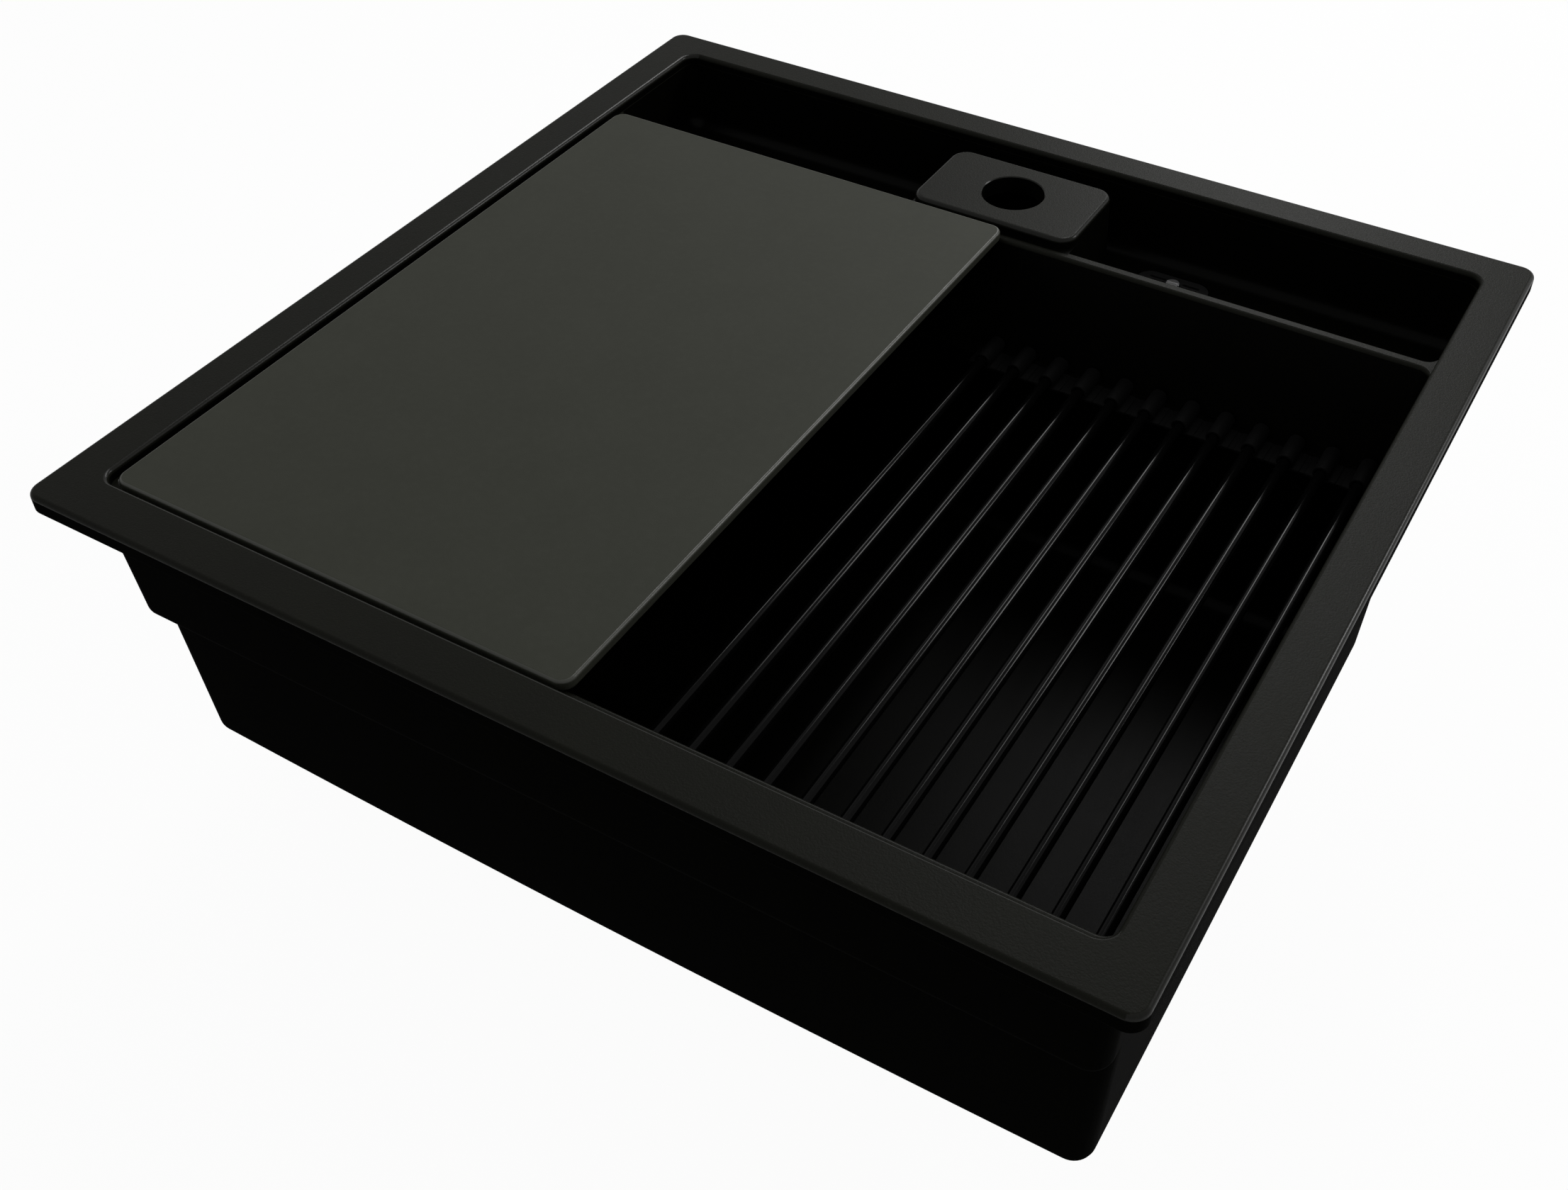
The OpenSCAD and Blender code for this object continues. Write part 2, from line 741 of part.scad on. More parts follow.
// A turned knob: its stem is riveted through the basket's floor
module basket_knob() {
    r = knob_d / 2;
    rivet_r = 4;
    rivet_t = 1.2;
    foot_r = 5;
    foot_h = 4;
    neck_r = 3.4;
    head_h = 8;
    head_under = 5;
    bevel = 1.5;
    top_in = basket_t + knob_fit;
    color([0.13, 0.13, 0.13])
        translate([waste_x, waste_y, basket_z])
            rotate_extrude()
                polygon([
                    [0, -rivet_t], [rivet_r, -rivet_t], [rivet_r, -knob_fit],
                    [knob_stem_r, -knob_fit], [knob_stem_r, top_in], [foot_r, top_in],
                    [rivet_r, foot_h], [neck_r, knob_h - head_h], [r - bevel, knob_h - head_under],
                    [r, knob_h - head_under + bevel], [r, knob_h - bevel], [r - bevel, knob_h],
                    [0, knob_h]]);
}

// ---------------------------------------------------------------- overflow

module overflow_cover() {
    len = slot_len + 2 * cover_border;
    w = slot_w + 2 * cover_border;
    slit_w = 1.8;
    slit_pitch = 3.2;
    slit_len = slot_len * 0.3;
    slit_x = slot_len * 0.29;
    color([0.13, 0.13, 0.13])
        translate([slot_x, slot_y, tray_z - cover_t - cover_drop])
            difference() {
                linear_extrude(cover_t) slot_outline(len, w);
                for (s = [-1, 1])
                    for (j = [-1:1])
                        translate([s * slit_x, j * slit_pitch, -CUT])
                            linear_extrude(cover_t + 2 * CUT)
                                slot_outline(slit_len, slit_w);
                translate([0, 0, -CUT]) cylinder(d = oscrew_d + cover_hole_gap, h = cover_t + 2 * CUT);
            }
}

module overflow_screw() {
    color([0.6, 0.6, 0.6])
        translate([slot_x, slot_y, 0])
            slotted_screw(oscrew_d, oscrew_head_d, oscrew_head_t, tray_z - cover_drop,
                elbow_top_z - elbow_flange_t - oscrew_grip, oscrew_slot);
}

module overflow_seal() {
    hole_gap = 1;
    color([0.08, 0.08, 0.08])
        translate([slot_x, slot_y, elbow_top_z])
            linear_extrude(oseal_t)
                difference() {
                    slot_outline(slot_len + 2 * oseal_border, slot_w + 2 * oseal_border);
                    slot_outline(slot_len + 2 * hole_gap, slot_w + 2 * hole_gap);
                }
}

module overflow_elbow() {
    zf = elbow_top_z - elbow_flange_t;
    w = 2.4;
    belly = 2;
    boss_d = oscrew_d + 3;
    boss_h = 12;
    bridge_w = 3;
    color([0.12, 0.12, 0.13])
        translate([slot_x, slot_y, 0])
            difference() {
                union() {
                    difference() {
                        union() {
                            translate([0, 0, zf])
                                linear_extrude(elbow_flange_t)
                                    slot_outline(slot_len + 2 * oseal_border, slot_w + 2 * oseal_border);
                            translate([0, 0, elbow_bottom_z])
                                linear_extrude(elbow_depth + CUT)
                                    slot_outline(slot_len + 2 * w, slot_w + 2 * (w + belly));
                            translate([0, 0, spigot_tip_z])
                                cylinder(d = spigot_d, h = spigot_len + CUT);
                        }
                        translate([0, 0, elbow_bottom_z + w])
                            linear_extrude(elbow_depth + elbow_flange_t)
                                slot_outline(slot_len, slot_w);
                        translate([0, 0, spigot_tip_z - CUT])
                            cylinder(d = spigot_d - 2 * spigot_wall, h = spigot_len + w + 2 * CUT);
                    }
                    translate([0, 0, zf - boss_h]) cylinder(d = boss_d, h = boss_h + elbow_flange_t);
                    translate([-bridge_w / 2, -slot_w / 2 - w / 2, zf - boss_h])
                        cube([bridge_w, slot_w + w, boss_h]);
                }
                translate([0, 0, zf - boss_h - CUT])
                    cylinder(d = oscrew_d + 2 * screw_fit, h = boss_h + elbow_flange_t + 2 * CUT);
            }
}

// ---------------------------------------------------------------- hose

// The route is fixed by hand: down from the tray, round behind the bowl, and forward under it
hose_from = [slot_x, slot_y, spigot_tip_z + hose_push];
hose_to = [waste_x, port_y + spigot_len - hose_push, port_z];
hose_route = [
    hose_from, hose_from - [0, 0, 12], hose_from - [0, 0, 24],
    hose_from + [-2, -1, -47], hose_from + [-8, -4, -70], hose_from + [-19, -10, -92],
    hose_from + [-36, -19, -111], hose_from + [-57, -30, -123], hose_from + [-81, -42, -129],
    hose_from + [-107, -53, -131],
    hose_to + [117, 144, -6], hose_to + [92, 133, -5], hose_to + [68, 121, -4],
    hose_to + [46, 107, -3], hose_to + [27, 90, -2], hose_to + [13, 71, -1],
    hose_to + [4, 49, 0], hose_to + [0, 25, 0], hose_to + [0, 13, 0], hose_to];
hose_steps = 10;

// A point on the smooth curve through four route points, u from the second to the third
function curve(p0, p1, p2, p3, u) =
    0.5 * (2 * p1 + (p2 - p0) * u + (2 * p0 - 5 * p1 + 4 * p2 - p3) * u * u
        + (3 * p1 - p0 - 3 * p2 + p3) * u * u * u);

function route_point(i) = hose_route[min(max(i, 0), len(hose_route) - 1)];

hose_line = [
    for (i = [0:len(hose_route) - 2])
        for (k = [0:hose_steps - 1])
            curve(route_point(i - 1), route_point(i), route_point(i + 1), route_point(i + 2),
                k / hose_steps),
    hose_to];

// Length along the line at each of its points
hose_at = [
    for (i = 0, s = 0; i < len(hose_line);
        s = s + (i + 1 < len(hose_line) ? norm(hose_line[i + 1] - hose_line[i]) : 0), i = i + 1)
        s];
hose_len = hose_at[len(hose_at) - 1];

function hose_table(axis) = [for (i = [0:len(hose_line) - 1]) [hose_at[i], hose_line[i][axis]]];
hose_tables = [hose_table(0), hose_table(1), hose_table(2)];
function hose_point(s) = [for (a = [0:2]) lookup(s, hose_tables[a])];
function unit(v) = v / norm(v);
function hose_dir(s) = unit(hose_point(min(s + 1, hose_len)) - hose_point(max(s - 1, 0)));

// Points of one ring of the hose, at right angles to its line
HOSE_REF = [0.5, -0.5, 1];
function hose_ring(s, r) =
    let (d = hose_dir(s))
    let (side = unit(cross(d, HOSE_REF)))
    let (up = cross(side, d))
    [for (k = [0:hose_sides - 1])
        hose_point(s) + r * (side * cos(360 * k / hose_sides) + up * sin(360 * k / hose_sides))];

cuff_extra = 6;
cuff_len = hose_push + cuff_extra;
crest_r = hose_d / 2;
root_r = crest_r - rib_depth;
bore_r = hose_bore_d / 2 / cos(180 / hose_sides);
rib_count = floor((hose_len - 2 * cuff_len) / rib_pitch);
rib_step = (hose_len - 2 * cuff_len) / rib_count / 2;
outer_rings = concat(
    [[0, crest_r]],
    [for (k = [0:2 * rib_count]) [cuff_len + k * rib_step, k % 2 == 0 ? crest_r : root_r]],
    [[hose_len, crest_r]]);
bore_count = 44;
bore_rings = [for (k = [0:bore_count]) [hose_len * k / bore_count, bore_r]];

// Two triangles for each side of a band between two rings, the first point at index a or b
function band(a, b, flip) = [
    for (k = [0:hose_sides - 1])
        let (n = (k + 1) % hose_sides)
        let (q = [a + k, a + n, b + n, b + k])
        for (t = [[q[0], q[1], q[2]], [q[0], q[2], q[3]]])
            flip ? [t[2], t[1], t[0]] : t];

module overflow_hose() {
    rings = concat(outer_rings, bore_rings);
    no = len(outer_rings);
    ni = len(bore_rings);
    points = [for (r = rings) for (p = hose_ring(r[0], r[1])) p];
    at = [for (i = [0:no + ni - 1]) i * hose_sides];
    faces = concat(
        [for (i = [0:no - 2]) for (f = band(at[i], at[i + 1], false)) f],
        [for (i = [no:no + ni - 2]) for (f = band(at[i], at[i + 1], true)) f],
        band(at[0], at[no], true),
        band(at[no - 1], at[no + ni - 1], false));
    color([0.3, 0.3, 0.3])
        polyhedron(points, faces, convexity = 6);
}

// A ribbed nut that closes the hose on a spigot, axis along +Z from its mouth
module hose_nut() {
    r_in = hose_d / 2 + nut_gap;
    r = r_in + nut_wall;
    rib_w = 2.4;
    rib_h = 1.2;
    rib_end = 1.5;
    ribs = 12;
    difference() {
        union() {
            cylinder(r = r, h = nut_len);
            for (k = [0:ribs - 1])
                rotate(360 * k / ribs)
                    translate([0, -rib_w / 2, rib_end])
                        cube([r + rib_h, rib_w, nut_len - 2 * rib_end]);
        }
        translate([0, 0, -CUT]) cylinder(r = r_in, h = nut_len + 2 * CUT);
    }
}

module hose_nut_upper() {
    color([0.12, 0.12, 0.13])
        translate(hose_from - [0, 0, nut_len - nut_over])
            hose_nut();
}

module hose_nut_lower() {
    color([0.12, 0.12, 0.13])
        translate(hose_to - [0, nut_over, 0])
            rotate([-90, 0, 0])
                hose_nut();
}

sink_body();
rim_seal();
cutting_board();
mat_bar(1);  // mat_bar_01
mat_bar(2);  // mat_bar_02
mat_bar(3);  // mat_bar_03
mat_bar(4);  // mat_bar_04
mat_bar(5);  // mat_bar_05
mat_bar(6);  // mat_bar_06
mat_bar(7);  // mat_bar_07
mat_bar(8);  // mat_bar_08
mat_bar(9);  // mat_bar_09
mat_bar(10);  // mat_bar_10
mat_bar(11);  // mat_bar_11
mat_bar(12);  // mat_bar_12
mat_grips(1);  // mat_grips_01
mat_grips(2);  // mat_grips_02
mat_grips(3);  // mat_grips_03
mat_grips(4);  // mat_grips_04
mat_grips(5);  // mat_grips_05
mat_grips(6);  // mat_grips_06
mat_grips(7);  // mat_grips_07
mat_grips(8);  // mat_grips_08
mat_grips(9);  // mat_grips_09
mat_grips(10);  // mat_grips_10
mat_grips(11);  // mat_grips_11
mat_grips(12);  // mat_grips_12
flange_gasket();
strainer_cup();
waste_screw();
lower_gasket();
waste_body();
basket();
basket_seal();
basket_knob();
overflow_cover();
overflow_screw();
overflow_seal();
overflow_elbow();
overflow_hose();
hose_nut_upper();
hose_nut_lower();
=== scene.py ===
# %% [markdown]
# # A black composite kitchen sink with its board, mat and waste
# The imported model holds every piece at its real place, in metres. This file dresses it: each
# step says what a piece is on the real sink, and builds or finishes it. The origin is the centre
# of the hole in the worktop, +X is to the right, +Y to the wall and +Z up.

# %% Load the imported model
import json
import math

import bmesh
import bpy
from mathutils import Matrix, Vector

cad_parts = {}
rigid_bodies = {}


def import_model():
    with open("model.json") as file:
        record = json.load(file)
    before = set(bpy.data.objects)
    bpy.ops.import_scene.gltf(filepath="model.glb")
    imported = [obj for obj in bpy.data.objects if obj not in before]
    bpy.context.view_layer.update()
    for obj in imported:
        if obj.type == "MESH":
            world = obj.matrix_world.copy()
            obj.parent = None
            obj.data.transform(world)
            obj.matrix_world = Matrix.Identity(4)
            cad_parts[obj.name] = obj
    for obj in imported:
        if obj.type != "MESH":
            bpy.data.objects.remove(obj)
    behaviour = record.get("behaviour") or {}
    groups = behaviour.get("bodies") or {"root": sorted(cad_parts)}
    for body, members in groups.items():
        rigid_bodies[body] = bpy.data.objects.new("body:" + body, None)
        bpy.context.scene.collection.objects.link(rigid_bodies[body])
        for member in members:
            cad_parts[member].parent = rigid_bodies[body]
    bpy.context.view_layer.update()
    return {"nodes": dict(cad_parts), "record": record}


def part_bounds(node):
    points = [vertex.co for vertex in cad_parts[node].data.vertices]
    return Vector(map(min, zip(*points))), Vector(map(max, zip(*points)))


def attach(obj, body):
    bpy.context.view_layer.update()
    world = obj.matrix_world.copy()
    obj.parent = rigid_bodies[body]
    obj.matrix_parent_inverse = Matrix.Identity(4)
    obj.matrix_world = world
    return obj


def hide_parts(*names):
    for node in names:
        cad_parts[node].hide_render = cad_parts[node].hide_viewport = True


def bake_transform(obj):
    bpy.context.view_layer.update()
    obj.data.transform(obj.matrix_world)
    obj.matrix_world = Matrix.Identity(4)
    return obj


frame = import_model()

# %% [markdown]
# ## The camera
# The eye stands at the right front corner and looks down over the sink. Its place, turn and
# lens were solved from the straight edges of the rim, so the shift is the small amount by which
# the picture was cropped off centre.

# %% Camera
MM = 0.001
PHOTO_W, PHOTO_H = 2212, 1679
FOCAL_PIXELS, AXIS_X, AXIS_Y = 2469.475, 1188.16, 777.63
SENSOR = 36.0
EYE = Vector((347.6, -591.7, 521.6)) * MM
TO_RIGHT = Vector((0.863724, 0.503966, -0.000380))
TO_UP = Vector((-0.340142, 0.583509, 0.737442))
BACKWARD = Vector((0.371867, -0.636817, 0.675410))

lens = bpy.data.cameras.new("camera")
lens.sensor_fit = "HORIZONTAL"
lens.sensor_width = SENSOR
lens.lens = SENSOR * FOCAL_PIXELS / PHOTO_W
lens.shift_x = (PHOTO_W / 2 - AXIS_X) / PHOTO_W
lens.shift_y = (AXIS_Y - PHOTO_H / 2) / PHOTO_W
lens.clip_start = 0.01
camera = bpy.data.objects.new("camera", lens)
turn = Matrix((TO_RIGHT, TO_UP, BACKWARD)).transposed().to_4x4()
camera.matrix_world = Matrix.Translation(EYE) @ turn
bpy.context.scene.collection.objects.link(camera)
bpy.context.scene.camera = camera
print("lens", round(lens.lens, 2), "mm, shift", round(lens.shift_x, 4), round(lens.shift_y, 4))

# %% [markdown]
# ## Node trees as sums
# A small class wraps a node's socket, so that a material is written as a sum: `0.02 + grain *
# 0.01` adds the Math nodes by itself. `Nodes.node` makes any other node from its type, its
# settings and the values or links of its inputs. Materials and Geometry Nodes both use it.

# %% A socket that does sums
class Value:
    def __init__(self, nodes, socket):
        self.nodes, self.socket = nodes, socket

    def _sum(self, operation, a, b):
        return self.nodes.node("ShaderNodeMath", {"operation": operation}, {0: a, 1: b})

    def __add__(self, other): return self._sum("ADD", self, other)
    def __radd__(self, other): return self._sum("ADD", other, self)
    def __sub__(self, other): return self._sum("SUBTRACT", self, other)
    def __rsub__(self, other): return self._sum("SUBTRACT", other, self)
    def __mul__(self, other): return self._sum("MULTIPLY", self, other)

    def ramp(self, low, high):
        """0 below low, 1 above high, straight between them"""
        limits = {"Value": self, "From Min": low, "From Max": high}
        return self.nodes.node("ShaderNodeMapRange", {"clamp": True}, limits)

    def sine(self):
        return self.nodes.node("ShaderNodeMath", {"operation": "SINE"}, {0: self})


class Nodes:
    """A node tree that is built by calls"""

    def node(self, kind, settings, inputs, output=0):
        made = self.tree.nodes.new(kind)
        for key, value in settings.items():
            setattr(made, key, value)
        for key, value in inputs.items():
            self.join(value, made.inputs[key])
        return Value(self, made.outputs[output])

    def join(self, value, socket):
        if isinstance(value, Value):
            self.tree.links.new(value.socket, socket)
        else:
            socket.default_value = value


class Finish(Nodes):
    """One procedural material, with its surface shader ready as self.surface"""

    def __init__(self, name, **surface):
        self.material = bpy.data.materials.new(name)
        self.material.use_nodes = True
        self.tree = self.material.node_tree
        self.surface = self.tree.nodes["Principled BSDF"]
        for socket, value in surface.items():
            self.surface.inputs[socket.replace("_", " ")].default_value = value

    def place(self):
        """Position on the object, in metres"""
        return self.node("ShaderNodeTexCoord", {}, {}, "Object")

    def noise(self, size, detail, rough, vector=None):
        """Noise whose grains are about size metres across"""
        inputs = {"Vector": vector or self.place(), "Scale": 1 / size, "Detail": detail, "Roughness": rough}
        return self.node("ShaderNodeTexNoise", {}, inputs, "Fac")

    def mix(self, mask, one, two):
        """Colour one where the mask is 0, colour two where it is 1"""
        blend = self.tree.nodes.new("ShaderNodeMix")
        blend.data_type = "RGBA"
        self.join(mask, blend.inputs["Factor"])
        self.join(one, blend.inputs[6])
        self.join(two, blend.inputs[7])
        return Value(self, blend.outputs[2])

    def bump(self, height, strength, distance):
        inputs = {"Height": height, "Strength": strength, "Distance": distance}
        return self.node("ShaderNodeBump", {}, inputs, "Normal")

    def set(self, **links):
        for socket, value in links.items():
            self.join(value, self.surface.inputs[socket.replace("_", " ")])
        return self.material


def grey(level, warm=0.0):
    """A near-black colour, warm pulls it a little to olive"""
    return (level, level * (1 + 0.15 * warm), level * (1 - warm), 1.0)


print("the shader helpers are ready")

# %% [markdown]
# ## Stone composite
# The body is cast from black resin filled with fine stone. Its top is matt with a grain just
# under a millimetre. The rounded edges that face right or back are rubbed smooth and catch the
# light. Its inside comes out of a polished mould, and its outside is rough and nearly without
# shine. Both are given a far darker colour than the top, and that darkness is painted shade: in
# the hollows, and on the walls under the rim that the lamps leave in shade. Within each finish
# the colour hardly changes, so the grain is mostly in the roughness and the bump. An image of
# the stone would repeat over a body half a metre wide, so noise of three sizes makes it.

# %% Four finishes of the composite
def composite(name, level, rough, shine, grain):
    f = Finish(name, Specular_IOR_Level=shine)
    fine = f.noise(0.0009, 4.0, 0.6)
    cloud = f.noise(0.035, 2.0, 0.5)
    speck = f.noise(0.0011, 1.0, 0.4).ramp(0.62, 0.78)
    tone = f.mix(cloud, grey(level * 0.86, 0.20), grey(level * 1.14, 0.28))
    return f.set(
        Base_Color=f.mix(speck * 0.5, tone, grey(level * 2.1, 0.25)),
        Roughness=rough + (fine - 0.5) * 0.16 + (cloud - 0.5) * 0.05,
        Normal=f.bump(fine, grain, 0.00025),
    )


top_composite = composite("composite_top", 0.0072, 0.42, 0.042, 0.55)
edge_composite = composite("composite_edge", 0.0060, 0.26, 0.12, 0.12)
# The inside finish is a much darker copy of the top: painted shade in the hollows.
painted_shade_inner_composite = composite("composite_inside_painted_shade", 0.0013, 0.34, 0.03, 0.15)
# The outside finish is darker still: painted shade on the rim's sides and the walls under it, with real
# roughness and little shine.
painted_shade_outer_composite = composite("composite_outside_painted_shade", 0.0008, 0.80, 0.004, 0.40)
print("composite:", top_composite.name, edge_composite.name, painted_shade_inner_composite.name, painted_shade_outer_composite.name)

# %% [markdown]
# ## Shapes from stacked outlines
# A moulding is drafted: every wall leans a few degrees, and every edge is rounded. Each block
# or hollow of it is a stack of rounded rectangles with the same number of points, joined by
# bands of faces. Rounding an edge is then only a few more outlines, moved in as they go down.

# %% Outlines and stacks
CORNER_STEPS = 10
ROUND_STEPS = 7
SMALLEST_RADIUS = 0.4
LAST_FLARE = 0.97


def outline(box, z):
    """A rounded rectangle [x0, x1, y0, y1, r] in mm at height z, anticlockwise from above"""
    x0, x1, y0, y1, r = box
    turns = ((x1 - r, y0 + r, -90), (x1 - r, y1 - r, 0), (x0 + r, y1 - r, 90), (x0 + r, y0 + r, 180))
    points = []
    for cx, cy, start in turns:
        for k in range(CORNER_STEPS + 1):
            a = math.radians(start + 90 * k / CORNER_STEPS)
            points.append(Vector((cx + r * math.cos(a), cy + r * math.sin(a), z)) * MM)
    return points


def grown(box, d):
    """The outline moved out by d, its corner radius with it"""
    x0, x1, y0, y1, r = box
    return [x0 - d, x1 + d, y0 - d, y1 + d, max(r + d, SMALLEST_RADIUS)]


def mesh_object(name, points, faces, material=None):
    mesh = bpy.data.meshes.new(name)
    mesh.from_pydata([tuple(p) for p in points], [], faces)
    mesh.validate()
    piece = bpy.data.objects.new(name, mesh)
    bpy.context.scene.collection.objects.link(piece)
    if material:
        mesh.materials.append(material)
    return piece


def bands(rings):
    """The points of the outlines, and the faces between them and over the highest"""
    n = len(rings[0])
    faces = []
    for level in range(len(rings) - 1):
        a, b = level * n, (level + 1) * n
        faces += [[a + k, a + (k + 1) % n, b + (k + 1) % n, b + k] for k in range(n)]
    faces.append([(len(rings) - 1) * n + k for k in range(n)])
    return [p for ring in rings for p in ring], faces


def stack(name, rings, material=None):
    """Outlines from the lowest to the highest, closed at both ends"""
    points, faces = bands(rings)
    underside = list(range(len(rings[0])))[::-1]
    return mesh_object(name, points, [underside] + faces, material)


def rounded_foot(box, z, radius, steps=ROUND_STEPS):
    """Outlines of a convex lower edge that ends at height z, lowest first"""
    rings = []
    for k in range(steps + 1):
        a = math.radians(90 - 90 * k / steps)
        inward, up = radius * (1 - math.cos(a)), radius * (1 - math.sin(a))
        rings.append(outline(grown(box, -inward), z + up))
    return rings


def rounded_head(box, z, radius, steps=ROUND_STEPS):
    """Outlines of a convex upper edge that ends at height z, lowest first"""
    rings = []
    for k in range(steps + 1):
        a = math.radians(90 * k / steps)
        inward, down = radius * (1 - math.cos(a)), radius * (1 - math.sin(a))
        rings.append(outline(grown(box, -inward), z - down))
    return rings


def flared_mouth(box, z, radius, over, flare=(1, 1, 1)):
    """Outlines of a hollow's mouth rounded over at height z, then up past it by over, lowest first.
    flare is how much the sides, the front and the back take part."""
    rings = []
    x0, x1, y0, y1, r = box
    sides, front, back = flare
    for k in range(ROUND_STEPS + 1):
        a = math.radians(90 * k / ROUND_STEPS)
        last = k == ROUND_STEPS
        out = radius * (LAST_FLARE if last else 1 - math.cos(a))
        up = z + over if last else z - radius + radius * math.sin(a)
        x_out = out * sides
        wider = [x0 - x_out, x1 + x_out, y0 - out * front, y1 + out * back, r + x_out]
        rings.append(outline(wider, up))
    return rings


print("outlines have", 4 * (CORNER_STEPS + 1), "points")

# %% [markdown]
# ## The body's sizes
# These are the body's own measures in millimetres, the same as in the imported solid: the levels
# of its rim, ledges and floors, and the outlines at each of them. An outline is a rounded
# rectangle, given as [left, right, front, back, corner radius].

# %% Levels and outlines of the body
DRAFT = math.tan(math.radians(2.6))
CAMBER_REACH = 0.25  # in metres from the middle, where the underside has risen by CAMBER
RIM_TOP, RIM_UNDER = 11.1, 1.5
BOARD_LEDGE, MAT_LEDGE, FLOOR = 5.1, -53.9, -165.9
TRAY_FLOOR, STEP, BOTTOM, TRAY_UNDER = -34.9, -75.9, -175.9, -44.9
SIDE, FRONT, REAR = 248.6, -236.9, 240.5
DIVIDER_FRONT, DIVIDER_REAR = 154.9, 162.2
LEDGE_SIDE, LEDGE_FRONT, LEDGE_REAR = 245.62, -228.52, 139.3
LOW_SIDE, LOW_FRONT, LOW_REAR = 245.32, -218.72, 129.8
PAD = [-48.9, 48.9, 161.3, 222.0, 10.0]
SOFT_EDGE, LEDGE_EDGE, CAMBER = 2.4, 1.6, 4.5
STEP_ROUND, OUTER_ROUND, BOWL_ROUND, TRAY_ROUND = 5, 8, 9, 8


def leaning(box, height, hold_front=False):
    """The outline after the draft of its walls over a height"""
    x0, x1, y0, y1, r = box
    d = DRAFT * height
    return [x0 + d, x1 - d, y0 if hold_front else y0 + d, y1 - d, r]


rim_edge = [-271.5, 271.5, -262, 262, 8]
upper_outside = [-258.6, 258.6, -241.2, 149.6, 10.5]
upper_outside_low = [-255.09, 255.09, -237.69, 149.3, 10.5]
lower_outside = [-255.32, 255.32, -228.72, 145.8, 10.5]
tray_outside = [-258.3, 258.3, 107.8, 249.0, 10.5]
opening = [-SIDE, SIDE, FRONT, REAR, 7.5]
bowl_mouth = [-SIDE + 0.3, SIDE - 0.3, FRONT + 5.7, DIVIDER_FRONT, 7.5]
mat_ledge_edge = [-LEDGE_SIDE, LEDGE_SIDE, LEDGE_FRONT, LEDGE_REAR, 10]
lower_mouth = [-LOW_SIDE, LOW_SIDE, LOW_FRONT, LOW_REAR, 10]
tray_mouth = [-SIDE + 0.3, SIDE - 0.3, DIVIDER_REAR, REAR - 0.3, 7.5]
tray_foot = leaning(tray_mouth, BOARD_LEDGE - TRAY_FLOOR)
tray_foot[4] = 10
WASTE = Vector((-160.0, -47.0, 0.0))
TRAY_SLOT = Vector((90.0, 219.0, 0.0))
print("rim", rim_edge[1] * 2, "x", rim_edge[3] * 2, "mm, deep", round(RIM_TOP - BOTTOM, 1))

# %% [markdown]
# ## Casting the body
# The mould's halves are copied: first the outside is joined from a rim plate, two steps of the
# bowl and the tray's trough, then the hollows are cut out, the tap pad is set in, and its own
# hollow and holes are cut last. Joining and cutting are Boolean modifiers, applied one by one.

# %% Join and cut
PILLAR_SIDES, CAMBER_SPANS = 64, 30
PAST = 1.0


def applied(piece, modifier):
    """Keeps the mesh that the modifier makes and takes the modifier away"""
    graph = bpy.context.evaluated_depsgraph_get()
    result = bpy.data.meshes.new_from_object(piece.evaluated_get(graph))
    piece.modifiers.remove(modifier)
    old, piece.data = piece.data, result
    bpy.data.meshes.remove(old)
    return piece


def shaped(piece, other, operation):
    """Applies a Boolean with the other piece and throws that piece away"""
    modifier = piece.modifiers.new("shape", "BOOLEAN")
    modifier.operation = operation
    modifier.solver = "EXACT"
    modifier.material_mode = "TRANSFER"
    modifier.object = other
    applied(piece, modifier)
    bpy.data.meshes.remove(other.data)


def cut(piece, other):
    shaped(piece, other, "DIFFERENCE")


def add(piece, other):
    shaped(piece, other, "UNION")


def pillar(name, centre, radius, z0, z1, material, lead=0.0):
    """An upright round block or cutter; lead widens it at its top"""
    levels = [(z0, radius), (z1, radius)]
    if lead:
        levels = [(z0, radius), (z1 - lead, radius), (z1, radius + lead)]
    turns = [2 * math.pi * k / PILLAR_SIDES for k in range(PILLAR_SIDES)]
    rings = []
    for z, r in levels:
        ring = [Vector((centre.x + r * math.cos(a), centre.y + r * math.sin(a), z)) for a in turns]
        rings.append([p * MM for p in ring])
    return stack(name, rings, material)


def cambered(name, top, z_top, low, z_low, radius):
    """A stack whose rounded underside rises from its middle to its left and right ends"""
    rings = []
    spans = CAMBER_SPANS
    for ring in rounded_foot(low, z_low, radius) + [outline(top, z_top)]:
        n = CORNER_STEPS + 1
        right, left = ring[: 2 * n], ring[2 * n :]
        rear = [right[-1].lerp(left[0], k / spans) for k in range(1, spans)]
        front = [left[-1].lerp(right[0], k / spans) for k in range(1, spans)]
        rings.append(right + rear + left + front)
    for ring in rings[:-1]:
        for p in ring:
            p.z += CAMBER * (p.x / CAMBER_REACH) ** 2 * MM
    points, faces = bands(rings)
    n = len(rings[0])
    half = n // 2
    ahead = [(CORNER_STEPS - k) % n for k in range(half)]
    behind = [(CORNER_STEPS + 1 + k) % n for k in range(half)]
    faces += [[ahead[k + 1], behind[k + 1], behind[k], ahead[k]] for k in range(half - 1)]
    return mesh_object(name, points, faces, painted_shade_outer_composite)


rim_plate = rounded_foot(rim_edge, RIM_UNDER, 0.6, 3) + rounded_head(rim_edge, RIM_TOP, SOFT_EDGE)
